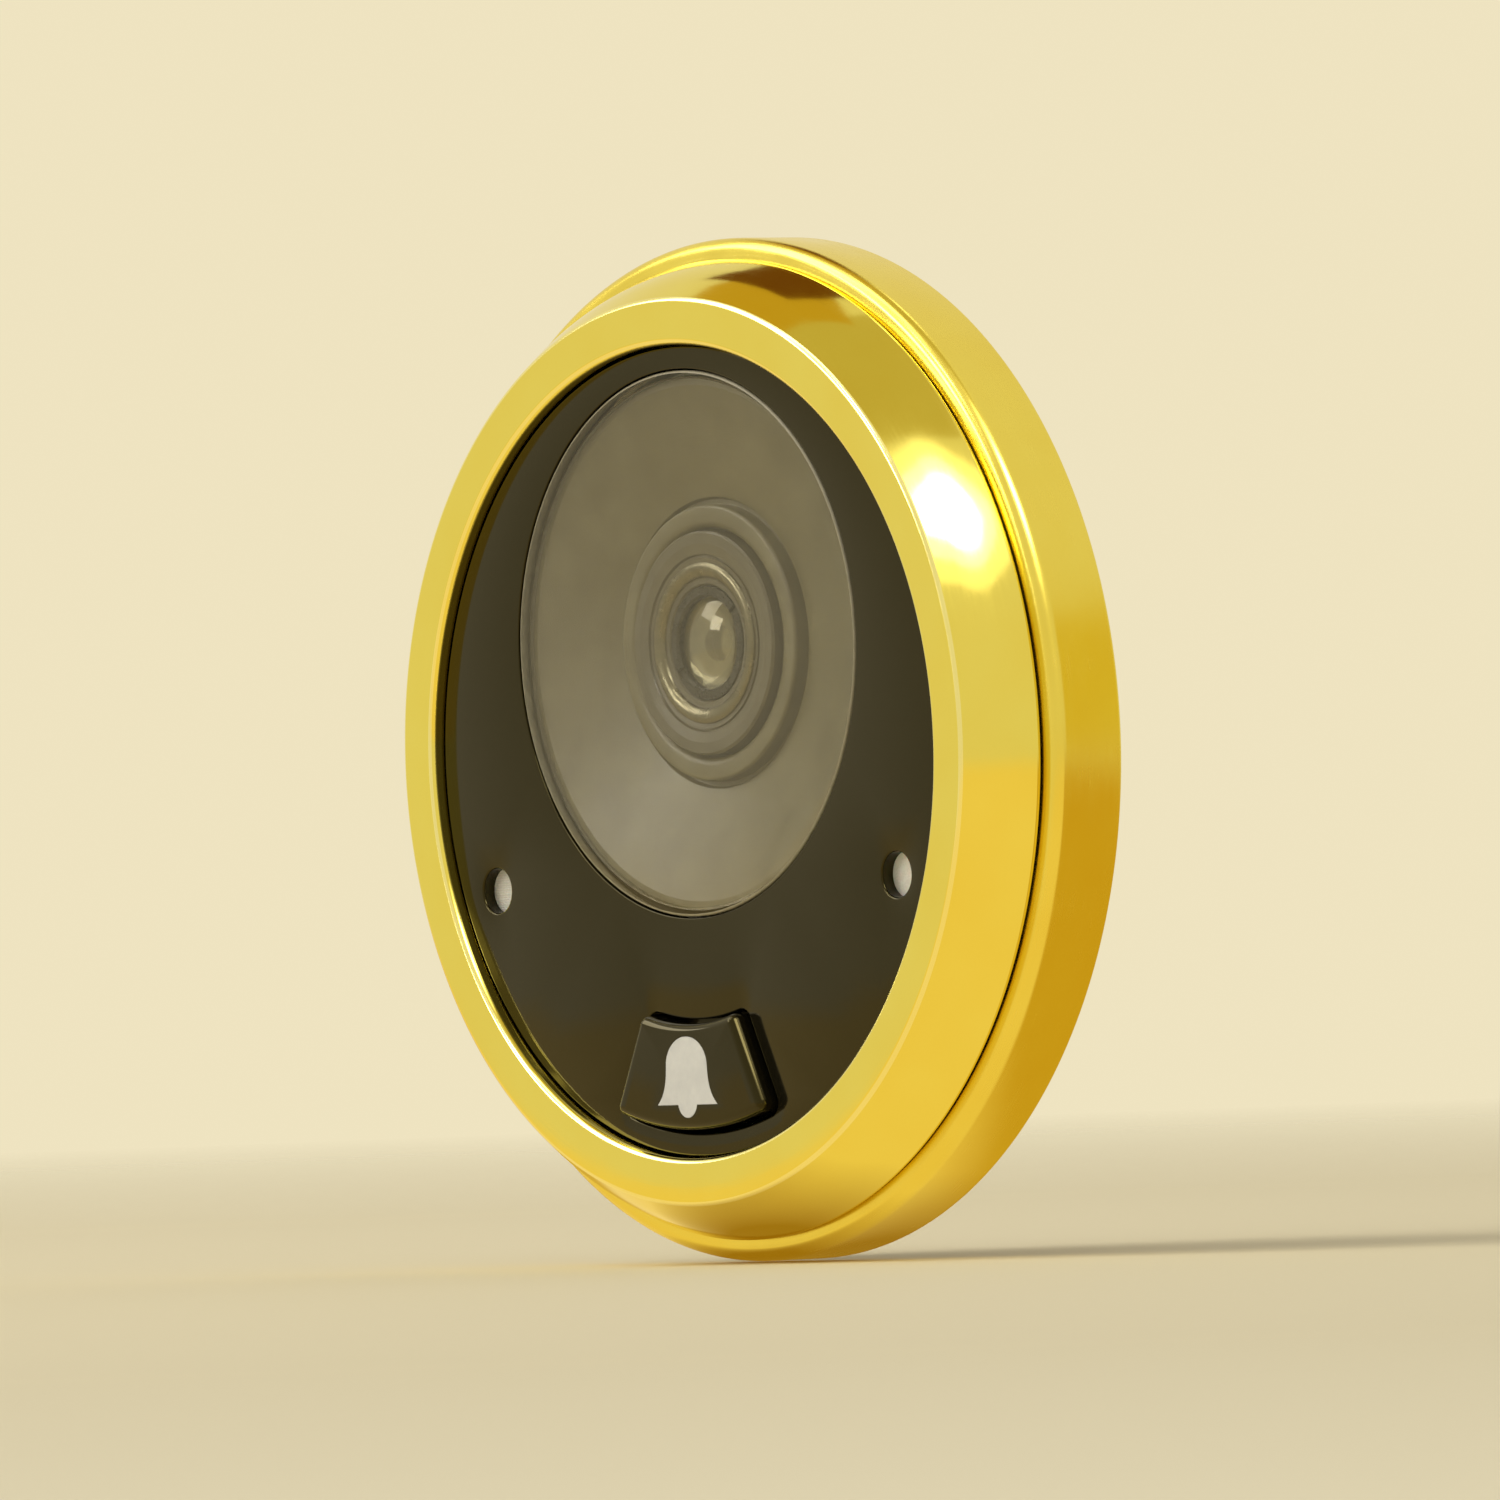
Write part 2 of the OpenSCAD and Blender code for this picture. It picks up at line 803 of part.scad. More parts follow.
// Bell with its clapper under the rim
module bell(low, high) {
  top = bell_h / 2;
  right = [for (i = [0 : bell_steps]) [bell_side(i / bell_steps), top - bell_body * i / bell_steps]];
  left = [for (i = [bell_steps : -1 : 1]) [-bell_side(i / bell_steps), top - bell_body * i / bell_steps]];
  union() {
    translate([0, 0, low])
      linear_extrude(height = high - low)
        polygon(concat(right, left));
    translate([0, clapper_r - top, 0])
      disc(low, high, clapper_r);
  }
}

// Keystone key with a rim behind the panel and a post to the switch
module bell_key() {
  color("black")
    on_door()
      difference() {
        union() {
          translate([0, 0, key_rim_z])
            linear_extrude(height = key_front_z - key_rim_z)
              key_outline(0, 0);
          translate([0, 0, key_rim_z])
            linear_extrude(height = key_rim_t)
              key_outline(key_rim_w, 0);
          translate([0, -key_mid_r, 0])
            disc(plunger_z, key_rim_z + key_rim_t / 2, plunger_r);
        }
        translate([0, -key_mid_r, 0])
          bell(key_front_z - bell_t, key_front_z + cut);
      }
}

module bell_symbol() {
  color("white")
    on_door()
      translate([0, -key_mid_r, 0])
        bell(key_front_z - bell_t, key_front_z);
}

module switch_plunger() {
  color("ivory")
    on_door()
      translate([0, -key_mid_r, 0])
        disc(plunger_low_z, plunger_z, plunger_r);
}

base_dish();
threaded_stem();
seal_pad();
bezel_ring();
body_o_ring();
case_screws();
front_panel();
panel_tape();
window_dome();
window_tape();
lens_shroud();
lens_holder();
lens_barrel();
glass_retainer();
front_glass();
aperture_stop();
rear_glass();
infrared_filter();
image_sensor();
camera_board();
image_processor();
board_capacitors();
cable_socket();
microphone();
sound_tube();
sound_membrane();
light_sensor();
light_guide();
switch_body();
bell_key();
bell_symbol();
switch_plunger();
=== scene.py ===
import math

import bmesh
import bpy
from mathutils import Matrix, Vector


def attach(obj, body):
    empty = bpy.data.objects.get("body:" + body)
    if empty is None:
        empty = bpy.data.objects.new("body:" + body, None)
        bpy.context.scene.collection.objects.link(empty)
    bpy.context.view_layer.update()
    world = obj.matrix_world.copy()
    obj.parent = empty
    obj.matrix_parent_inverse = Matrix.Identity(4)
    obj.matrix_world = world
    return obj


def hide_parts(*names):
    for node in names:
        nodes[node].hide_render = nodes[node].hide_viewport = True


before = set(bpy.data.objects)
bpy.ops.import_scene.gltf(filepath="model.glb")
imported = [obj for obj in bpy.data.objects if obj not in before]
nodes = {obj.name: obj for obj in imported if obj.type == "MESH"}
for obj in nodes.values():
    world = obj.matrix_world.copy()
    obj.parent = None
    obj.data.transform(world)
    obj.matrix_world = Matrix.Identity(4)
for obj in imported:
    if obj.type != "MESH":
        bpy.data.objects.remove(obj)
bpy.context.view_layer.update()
scene = bpy.context.scene
scene.view_settings.view_transform = "Standard"
mm = 0.001

# camera at the photo's angle and distance, with a longer lens
shot = {"azimuth": 52.0, "elevation": -0.58, "roll": 2.12, "distance": 1.1006, "lens": 465, "aimAcross": -0.0033}


def addCamera():
    turn, tilt, roll = (math.radians(shot[k]) for k in ("azimuth", "elevation", "roll"))
    back = Vector((math.sin(turn) * math.cos(tilt), -math.cos(turn) * math.cos(tilt), math.sin(tilt)))
    right = Vector((math.cos(turn), math.sin(turn), 0))
    up = back.cross(right)
    across = right * math.cos(roll) - up * math.sin(roll)
    upward = right * math.sin(roll) + up * math.cos(roll)
    place = right * shot["aimAcross"] + back * shot["distance"]
    data = bpy.data.cameras.new("camera")
    data.lens, data.sensor_width = shot["lens"], 36
    data.clip_start, data.clip_end = 0.05, 20
    made = bpy.data.objects.new("camera", data)
    made.matrix_world = Matrix((across, upward, back)).transposed().to_4x4()
    made.location = place
    scene.collection.objects.link(made)
    scene.camera = made


addCamera()
print("camera set")


# meshes: face drawings are in mm, x right, y up, z out of the door
def toPart(x, y, z):
    return Vector((x * mm, -z * mm, y * mm))


def evenAngles(steps):
    return [2 * math.pi * i / steps for i in range(steps)]


def roundCorners(corners, steps=6):  # closed outline of (r, z, rounding)
    made = []
    count = len(corners)
    for i, (r, z, size) in enumerate(corners):
        spot = Vector((r, z))
        if size <= 0:
            made.append((r, z))
            continue
        before = (Vector(corners[i - 1][:2]) - spot).normalized()
        after = (Vector(corners[(i + 1) % count][:2]) - spot).normalized()
        half = before.angle(after) / 2
        middle = spot + (before + after).normalized() * (size / math.sin(half))
        start = spot + before * (size / math.tan(half)) - middle
        sweep = start.angle_signed(spot + after * (size / math.tan(half)) - middle)
        for k in range(steps + 1):
            a = -sweep * k / steps
            made.append((middle.x + start.x * math.cos(a) - start.y * math.sin(a),
                         middle.y + start.x * math.sin(a) + start.y * math.cos(a)))
    return made


def turnOnLathe(bm, profileAt, angles, centre=(0, 0), closed=True):
    columns = []
    for a in angles:
        profile = profileAt(a) if callable(profileAt) else profileAt
        columns.append([bm.verts.new(toPart(centre[0] + r * math.cos(a), centre[1] + r * math.sin(a), z))
                        for r, z in profile])
    rows = len(columns[0])
    for i, column in enumerate(columns):
        other = columns[(i + 1) % len(columns)]
        for j in range(rows if closed else rows - 1):
            k = (j + 1) % rows
            bm.faces.new((column[j], other[j], other[k], column[k]))


def stackLoops(bm, loops):  # loops of (points, z), joined in order
    rings = [[bm.verts.new(toPart(x, y, z)) for x, y in points] for points, z in loops]
    for low, high in zip(rings, rings[1:]):
        for i in range(len(low)):
            j = (i + 1) % len(low)
            bm.faces.new((low[i], low[j], high[j], high[i]))
    return rings


def capLoops(bm, *rings):
    edges = []
    for ring in rings:
        for i, vert in enumerate(ring):
            other = ring[(i + 1) % len(ring)]
            edges.append(bm.edges.get((vert, other)) or bm.edges.new((vert, other)))
    bmesh.ops.triangle_fill(bm, use_beauty=True, use_dissolve=False, edges=edges)


def edgeSteps(back, front, backRound, frontRound, side, steps=5):  # side -1 outside, 1 in a hole
    made = []
    for i in range(steps + 1):
        a = math.pi / 2 * i / steps
        made.append((side * backRound * (1 - math.sin(a)), back + backRound * (1 - math.cos(a))))
    for i in range(steps + 1):
        a = math.pi / 2 * i / steps
        made.append((side * frontRound * (1 - math.cos(a)), front - frontRound * (1 - math.sin(a))))
    return made


def circleLoop(r, centre=(0, 0), steps=128):
    return [(centre[0] + r * math.cos(a), centre[1] + r * math.sin(a)) for a in evenAngles(steps)]


def boxLoop(w, h, corner, centre=(0, 0), steps=5):
    points = []
    for k, (sx, sy) in enumerate(((1, 1), (-1, 1), (-1, -1), (1, -1))):
        cx, cy = centre[0] + sx * (w / 2 - corner), centre[1] + sy * (h / 2 - corner)
        for i in range(steps + 1):
            a = math.pi / 2 * (k + i / steps)
            points.append((cx + corner * math.cos(a), cy + corner * math.sin(a)))
    return points


def addPiece(name, bm, finish, stands, body="housing", sharp=32):
    bmesh.ops.remove_doubles(bm, verts=bm.verts, dist=2e-7)
    bmesh.ops.recalc_face_normals(bm, faces=bm.faces)
    mesh = bpy.data.meshes.new(name)
    bm.to_mesh(mesh)
    bm.free()
    finishes = finish if isinstance(finish, list) else [finish]
    for f in finishes:
        mesh.materials.append(f)
    piece = bpy.data.objects.new(name, mesh)
    scene.collection.objects.link(piece)
    smoothFaces(piece, sharp)
    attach(piece, body)
    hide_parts(*stands)
    return piece


def smoothFaces(piece, sharp):
    piece.data.polygons.foreach_set("use_smooth", [True] * len(piece.data.polygons))
    piece.data.set_sharp_from_angle(angle=math.radians(sharp))


def carve(piece, tools, operation, sharp=32):  # joins or cuts with solid tools
    for tool in tools:
        step = piece.modifiers.new("carve", "BOOLEAN")
        step.operation, step.solver, step.object = operation, "EXACT", tool
    bpy.context.view_layer.update()
    solid = piece.evaluated_get(bpy.context.evaluated_depsgraph_get())
    mesh = bpy.data.meshes.new_from_object(solid)
    piece.modifiers.clear()
    old, piece.data = piece.data, mesh
    mesh.name = piece.name
    bpy.data.meshes.remove(old)
    for tool in tools:
        bpy.data.objects.remove(tool)
    smoothFaces(piece, sharp)


def solidTool(profile, centre, steps=48):  # turned solid that carve uses up
    bm = bmesh.new()
    turnOnLathe(bm, profile, evenAngles(steps), centre, closed=False)
    bmesh.ops.remove_doubles(bm, verts=bm.verts, dist=2e-7)
    bmesh.ops.recalc_face_normals(bm, faces=bm.faces)
    mesh = bpy.data.meshes.new("tool")
    bm.to_mesh(mesh)
    bm.free()
    made = bpy.data.objects.new("tool", mesh)
    scene.collection.objects.link(made)
    return made


def barProfile(r, low, high):
    return [(0, low), (r, low), (r, high), (0, high)]


# finishes: patterns are measured in mm on the part itself
def newFinish(name, fixed):
    made = bpy.data.materials.new(name)
    made.use_nodes = True
    shader = made.node_tree.nodes["Principled BSDF"]
    for socket, value in fixed.items():
        shader.inputs[socket].default_value = value
    return made, made.node_tree, shader


def addNode(tree, kind, inputs=(), **settings):
    made = tree.nodes.new(kind)
    for key, value in settings.items():
        setattr(made, key, value)
    for key, value in dict(inputs).items():
        if isinstance(value, bpy.types.NodeSocket):
            tree.links.new(value, made.inputs[key])
        else:
            made.inputs[key].default_value = value
    return made


def inMillimetres(tree):
    place = addNode(tree, "ShaderNodeTexCoord").outputs["Object"]
    return addNode(tree, "ShaderNodeMapping", {"Vector": place, "Scale": (1 / mm,) * 3}).outputs["Vector"]


def mathStep(tree, operation, *values):
    return addNode(tree, "ShaderNodeMath", dict(enumerate(values)), operation=operation).outputs[0]


def roundAxis(tree, height=0.0, stretch=(1, 1, 1)):  # radius, way round and depth about a turned axis
    place = addNode(tree, "ShaderNodeTexCoord").outputs["Object"]
    parts = addNode(tree, "ShaderNodeSeparateXYZ", {"Vector": place})
    x, z = parts.outputs["X"], mathStep(tree, "SUBTRACT", parts.outputs["Z"], height * mm)
    radius = mathStep(tree, "SQRT", mathStep(tree, "ADD", mathStep(tree, "MULTIPLY", x, x),
                                             mathStep(tree, "MULTIPLY", z, z)))
    angle = mathStep(tree, "ARCTAN2", z, x)
    wave = [mathStep(tree, kind, angle) for kind in ("COSINE", "SINE")]  # no seam where the angle starts again
    flat = addNode(tree, "ShaderNodeCombineXYZ", {
        "X": mathStep(tree, "MULTIPLY", radius, stretch[0] / mm),
        "Y": mathStep(tree, "MULTIPLY", wave[0], stretch[1]),
        "Z": mathStep(tree, "MULTIPLY", wave[1], stretch[1])}).outputs["Vector"]
    depth = mathStep(tree, "MULTIPLY", parts.outputs["Y"], stretch[2] / mm)
    return addNode(tree, "ShaderNodeVectorMath", {0: flat, 1: addNode(
        tree, "ShaderNodeCombineXYZ", {"X": depth}).outputs["Vector"]}, operation="ADD").outputs["Vector"]


def noise(tree, place, scale, detail=3.0, rough=0.55):
    return addNode(tree, "ShaderNodeTexNoise", {
        "Vector": place, "Scale": scale, "Detail": detail, "Roughness": rough}).outputs["Fac"]


def spread(tree, value, low, high, start=0.3, end=0.7):
    return addNode(tree, "ShaderNodeMapRange", {
        "Value": value, "From Min": start, "From Max": end, "To Min": low, "To Max": high}).outputs["Result"]


def between(tree, share, first, second):
    ends = [end if isinstance(end, bpy.types.NodeSocket) else (*end, 1) for end in (first, second)]
    made = addNode(tree, "ShaderNodeMix", {"Factor": share, "A": ends[0], "B": ends[1]}, data_type="RGBA")
    return made.outputs["Result"]


def relief(tree, shader, height, depth):  # depth in mm
    made = addNode(tree, "ShaderNodeBump", {"Height": height, "Strength": 1.0, "Distance": depth * mm})
    tree.links.new(made.outputs["Normal"], shader.inputs["Normal"])


def join(tree, output, shader, socket):
    tree.links.new(output, shader.inputs[socket])


ringGold = {"bright": (0.865, 0.765, 0.175), "deep": (0.85, 0.72, 0.14), "rough": (0.07, 0.14), "wave": 0.003}
# paler gold for the ring's two front edges: a painted highlight line
edgeHighlightGold = {"bright": (0.93, 0.87, 0.40), "deep": (0.90, 0.82, 0.33), "rough": (0.15, 0.24), "wave": 0.003}
baseGold = {"bright": (0.86, 0.74, 0.155), "deep": (0.83, 0.68, 0.115), "rough": (0.18, 0.30), "wave": 0.005}


def polishedGold(name, gold):
    made, tree, shader = newFinish(name, {"Metallic": 1.0})
    place = inMillimetres(tree)
    join(tree, between(tree, spread(tree, noise(tree, place, 0.11), 0, 1), gold["bright"], gold["deep"]),
         shader, "Base Color")
    rubbed = noise(tree, roundAxis(tree, stretch=(7, 5, 7)), 1.0, 4)  # fine marks that run round the ring
    smudge = noise(tree, place, 0.25, 5, 0.6)
    both = mathStep(tree, "MULTIPLY", rubbed, smudge)
    join(tree, spread(tree, both, *gold["rough"], 0.12, 0.42), shader, "Roughness")
    relief(tree, shader, mathStep(tree, "ADD", noise(tree, place, 0.6, 1), mathStep(
        tree, "MULTIPLY", rubbed, 0.15)), gold["wave"])
    return made


brass = {"bright": (0.86, 0.62, 0.20), "dull": (0.70, 0.47, 0.13), "rough": (0.20, 0.38)}


def turnedBrass():
    made, tree, shader = newFinish("turnedBrass", {"Metallic": 1.0})
    place = inMillimetres(tree)
    marks = noise(tree, roundAxis(tree, stretch=(12, 2, 12)), 1.0, 3)
    stain = noise(tree, place, 0.35, 5, 0.62)
    join(tree, between(tree, spread(tree, stain, 0, 1), brass["bright"], brass["dull"]), shader, "Base Color")
    join(tree, spread(tree, mathStep(tree, "ADD", marks, stain), *brass["rough"], 0.7, 1.3), shader, "Roughness")
    relief(tree, shader, marks, 0.008)
    return made


black = {"dark": (0.0045, 0.0040, 0.0024), "light": (0.0078, 0.0068, 0.0042), "rough": (0.05, 0.11)}


def glossBlack():
    made, tree, shader = newFinish("glossBlack", {"IOR": 1.46, "Specular Tint": (0.96, 0.82, 0.33, 1)})
    place = inMillimetres(tree)
    haze = noise(tree, place, 0.28, 5, 0.6)
    join(tree, between(tree, haze, black["dark"], black["light"]), shader, "Base Color")
    join(tree, spread(tree, haze, *black["rough"]), shader, "Roughness")
    relief(tree, shader, noise(tree, place, 1.3, 1), 0.0016)  # faint moulding ripple
    return made


shroud = {"dark": (0.065, 0.054, 0.017), "light": (0.098, 0.085, 0.036), "rough": (0.38, 0.5), "grain": 0.006}


def satinGrey(name, colours, height=6.1):
    made, tree, shader = newFinish(name, {"IOR": 1.5})
    place = inMillimetres(tree)
    blotch = noise(tree, place, 0.4, 4)
    join(tree, between(tree, spread(tree, blotch, 0, 1), colours["dark"], colours["light"]), shader, "Base Color")
    rings = noise(tree, roundAxis(tree, height, (9, 0.8, 9)), 1.0, 2)
    grain = noise(tree, place, 9, 2)
    join(tree, spread(tree, mathStep(tree, "ADD", grain, blotch), *colours["rough"], 0.6, 1.4), shader, "Roughness")
    relief(tree, shader, mathStep(tree, "ADD", grain, mathStep(tree, "MULTIPLY", rings, 0.6)), colours["grain"])
    return made


def clearGlass(name, fixed, smear):
    made, tree, shader = newFinish(name, {"Transmission Weight": 1.0, **fixed})
    place = inMillimetres(tree)
    join(tree, spread(tree, noise(tree, place, 0.5, 5, 0.65), 0.0, smear), shader, "Roughness")
    light = addNode(tree, "ShaderNodeLightPath").outputs["Is Shadow Ray"]
    through = addNode(tree, "ShaderNodeBsdfTransparent", {"Color": (*fixed["Base Color"][:3], 1)}).outputs[0]
    both = addNode(tree, "ShaderNodeMixShader", {0: light, 1: shader.outputs[0], 2: through}).outputs[0]
    tree.links.new(both, tree.nodes["Material Output"].inputs["Surface"])
    return made


def plainWear(name, fixed, first, second, rough, scale=0.8, bumpScale=6.0, depth=0.006):
    made, tree, shader = newFinish(name, fixed)
    place = inMillimetres(tree)
    blotch = noise(tree, place, scale, 4, 0.6)
    grain = noise(tree, place, bumpScale, 2)
    join(tree, between(tree, spread(tree, blotch, 0, 1), first, second), shader, "Base Color")
    join(tree, spread(tree, mathStep(tree, "ADD", blotch, grain), *rough, 0.6, 1.4), shader, "Roughness")
    relief(tree, shader, grain, depth)
    return made


def cellFoam():
    made, tree, shader = newFinish("cellFoam", {"Sheen Weight": 0.15, "Sheen Roughness": 0.6})
    place = inMillimetres(tree)
    cells = addNode(tree, "ShaderNodeTexVoronoi", {"Vector": place, "Scale": 3.2}).outputs["Distance"]
    join(tree, between(tree, spread(tree, cells, 0, 1, 0.1, 0.7), (0.010, 0.010, 0.011), (0.045, 0.045, 0.046)),
         shader, "Base Color")
    join(tree, spread(tree, noise(tree, place, 1.5), 0.75, 0.95), shader, "Roughness")
    relief(tree, shader, cells, 0.09)
    return made


def circuitGreen():
    made, tree, shader = newFinish("circuitGreen", {"Coat Weight": 0.3, "Coat Roughness": 0.2})
    place = inMillimetres(tree)
    tracks = addNode(tree, "ShaderNodeTexBrick", {
        "Vector": place, "Scale": 0.55, "Mortar Size": 0.035, "Mortar Smooth": 0.1, "Brick Width": 1.3,
        "Row Height": 0.42}, offset=0.37).outputs["Fac"]
    blotch = noise(tree, place, 0.5, 4)
    join(tree, between(tree, mathStep(tree, "ADD", mathStep(tree, "MULTIPLY", tracks, 0.7), mathStep(
        tree, "MULTIPLY", blotch, 0.3)), (0.006, 0.045, 0.018), (0.020, 0.115, 0.040)), shader, "Base Color")
    join(tree, spread(tree, blotch, 0.25, 0.42), shader, "Roughness")
    relief(tree, shader, tracks, 0.03)
    return made


def meshedPale():  # membrane with a fine weave
    made, tree, shader = newFinish("meshedPale", {"Subsurface Weight": 0.1, "Subsurface Scale": 0.0003})
    place = inMillimetres(tree)
    waves = [addNode(tree, "ShaderNodeTexWave", {"Vector": place, "Scale": 2.2, "Distortion": 0.3},
                     bands_direction=way).outputs["Fac"] for way in ("X", "Z")]
    weave = mathStep(tree, "MULTIPLY", *waves)
    join(tree, between(tree, weave, (0.74, 0.72, 0.65), (0.95, 0.93, 0.86)), shader, "Base Color")
    join(tree, spread(tree, weave, 0.55, 0.8, 0, 1), shader, "Roughness")
    relief(tree, shader, weave, 0.03)
    return made


finishGold = polishedGold("polishedGold", ringGold)
finishEdgeHighlight = polishedGold("paleEdgeHighlight", edgeHighlightGold)
finishBase = polishedGold("satinGold", baseGold)
finishBrass = turnedBrass()
finishBlack = glossBlack()
finishShroud = satinGrey("shroudGrey", shroud)
finishBarrel = satinGrey("barrelGrey", {"dark": (0.045, 0.038, 0.017), "light": (0.068, 0.058, 0.030),
                                        "rough": (0.28, 0.42), "grain": 0.004})
finishInside = satinGrey("insideBlack", {"dark": (0.018, 0.018, 0.017), "light": (0.030, 0.029, 0.028),
                                         "rough": (0.34, 0.5), "grain": 0.005})
finishRetainer = plainWear("darkAnodised", {"Metallic": 0.9}, (0.026, 0.025, 0.022), (0.045, 0.043, 0.038),
                           (0.22, 0.36))
finishBead = plainWear("beadMetal", {"Metallic": 1.0}, (0.12, 0.108, 0.07), (0.17, 0.155, 0.105), (0.2, 0.3),
                       1.5, 9, 0.003)
finishWindow = clearGlass("windowClear", {"Base Color": (0.93, 0.925, 0.90, 1), "IOR": 1.49,
                                          "Specular Tint": (1.0, 0.93, 0.76, 1)}, 0.03)
finishRim = plainWear("windowRimPale", {}, (0.24, 0.22, 0.15), (0.32, 0.29, 0.20), (0.35, 0.5), 1.5, 9, 0.004)
finishLens = clearGlass("lensCoated", {"Base Color": (0.93, 0.90, 0.72, 1), "IOR": 1.6, "Specular IOR Level": 0.06,
                                       "Specular Tint": (1.0, 0.93, 0.7, 1)}, 0.015)
finishFilter = clearGlass("filterBlue", {"Base Color": (0.45, 0.75, 0.80, 1), "IOR": 1.52}, 0.02)
finishFoam = cellFoam()
finishRubber = plainWear("sealRubber", {}, (0.010, 0.010, 0.010), (0.022, 0.022, 0.021), (0.5, 0.75), 1.2, 8, 0.012)
finishScrew = plainWear("screwSteel", {"Metallic": 1.0}, (0.50, 0.50, 0.49), (0.62, 0.61, 0.60), (0.22, 0.42), 1.5, 9)
finishTape = plainWear("tapeWhite", {}, (0.66, 0.66, 0.64), (0.78, 0.78, 0.76), (0.6, 0.85), 0.9, 7, 0.01)
finishSensor = plainWear("sensorDark", {"Coat Weight": 0.6, "Coat Roughness": 0.05}, (0.010, 0.013, 0.022),
                         (0.020, 0.030, 0.045), (0.15, 0.3), 2.0, 16, 0.003)
finishChip = plainWear("chipBlack", {}, (0.012, 0.012, 0.012), (0.022, 0.022, 0.022), (0.45, 0.62), 1.0, 12, 0.006)
finishBoard = circuitGreen()
finishCapacitor = plainWear("capacitorTan", {}, (0.36, 0.22, 0.10), (0.48, 0.31, 0.16), (0.35, 0.55), 2.0, 8)
finishIvory = plainWear("socketIvory", {}, (0.66, 0.60, 0.46), (0.75, 0.70, 0.56), (0.35, 0.5), 0.8, 8)
finishCan = plainWear("canMetal", {"Metallic": 1.0}, (0.55, 0.54, 0.50), (0.68, 0.67, 0.63), (0.18, 0.34), 1.6, 9)
finishPale = plainWear("symbolWhite", {}, (0.62, 0.63, 0.64), (0.70, 0.71, 0.71), (0.3, 0.45), 1.2, 10, 0.004)
finishGuide = plainWear("guidePale", {"Subsurface Weight": 0.35, "Subsurface Scale": 0.0006}, (0.80, 0.78, 0.69),
                        (0.88, 0.85, 0.77), (0.2, 0.35), 1.0, 10, 0.004)
finishMembrane = meshedPale()
finishSwitch = plainWear("switchBlack", {}, (0.016, 0.016, 0.017), (0.028, 0.028, 0.029), (0.4, 0.6), 1.0, 10)
print("finishes made:", len(bpy.data.materials))

# gold ring around the face
screws = {"turns": (45, 135, 225, 315), "path": 23.6, "hole": 1.0, "boss": 2.3, "ringBoss": 1.9, "headHole": 1.85,
          "headStart": -0.5, "headFloor": 1.1, "holeEnd": 3.3}
ring = {"outer": 27.9, "shoulder": 5.3, "front": 9.45, "flat": 25.6, "flatEdge": 0.45, "bulge": (26.95, 7.55, 10.0),
        "backEdge": 0.25, "edgeFrom": 12, "edgeTo": 48, "lip": 23.0, "lipEdge": 0.4,
        "ledge": 21.9, "ledgeFront": 6.75, "ledgeBack": 5.55, "skirtOuter": 26.7, "skirtInner": 25.1, "skirtBack": 3.4,
        "groove": 25.8, "grooveLow": 3.8, "grooveHigh": 4.8, "grooveEdge": 0.05, "skirtEdge": (0.15, 0.2),
        "seatEdge": 0.1, "bossBack": 3.1, "bossFront": 5.85, "holeFront": 5.95, "steps": 256}


def screwSpots():
    return [(screws["path"] * math.cos(math.radians(t)), screws["path"] * math.sin(math.radians(t)))
            for t in screws["turns"]]


def makeRing():
    s = ring
    seat, groove = s["seatEdge"], s["grooveEdge"]
    profile = roundCorners([
        (s["skirtInner"], s["skirtBack"], s["skirtEdge"][0]), (s["skirtOuter"], s["skirtBack"], s["skirtEdge"][1]),
        (s["skirtOuter"], s["grooveLow"], groove), (s["groove"], s["grooveLow"], 0),
        (s["groove"], s["grooveHigh"], 0), (s["skirtOuter"], s["grooveHigh"], groove),
        (s["skirtOuter"], s["shoulder"], seat), (s["outer"], s["shoulder"], s["backEdge"]),
        s["bulge"], (s["flat"], s["front"], s["flatEdge"]), (s["lip"], s["front"], s["lipEdge"]),
        (s["lip"], s["ledgeFront"], seat), (s["ledge"], s["ledgeFront"], seat),
        (s["ledge"], s["ledgeBack"], seat), (s["skirtInner"], s["ledgeBack"], s["skirtEdge"][1])], 12)
    bm = bmesh.new()
    turnOnLathe(bm, profile, evenAngles(s["steps"]))
    bmesh.ops.recalc_face_normals(bm, faces=bm.faces)
    for face in bm.faces:  # paler gold on the two front edges, a painted highlight line
        tilt = math.degrees(math.acos(min(1, max(-1, -face.normal.y))))
        spot = -face.calc_center_median().y / mm
        face.material_index = int(s["edgeFrom"] < tilt < s["edgeTo"] and spot > s["front"] - s["lipEdge"])
    piece = addPiece("ringFront", bm, [finishGold, finishEdgeHighlight], ["bezel_ring"])
    carve(piece, [solidTool(barProfile(screws["ringBoss"], s["bossBack"], s["bossFront"]), spot)
                  for spot in screwSpots()], "UNION")
    carve(piece, [solidTool(barProfile(screws["hole"], s["bossBack"] - 1, s["holeFront"]), spot)
                  for spot in screwSpots()], "DIFFERENCE")


makeRing()

# gold base on the door, with the keyed hole for the stem
base = {"outer": 29.0, "back": 0.5, "rim": 5.2, "edge": 0.75, "backEdge": 0.3, "inner": 26.8, "floor": 1.7,
        "head": 9.35, "headSeat": 1.1, "collar": 7.85, "flat": 7.15, "bossBack": 1.4, "bossFront": 2.3,
        "holeEdge": 0.1, "rimEdge": 0.15, "floorEdge": 0.3, "headEdge": 0.08, "steps": 256}


def keyedAngles(r, flat, steps):  # angles that meet the corners of the two flats
    corner = math.acos(flat / r)
    made = evenAngles(steps)
    for a in (corner, math.pi - corner, math.pi + corner, 2 * math.pi - corner):
        made[min(range(steps), key=lambda i: abs(made[i] - a))] = a
    return made


def keyedRadius(a, r, flat):
    return min(r, flat / max(abs(math.cos(a)), 1e-6))


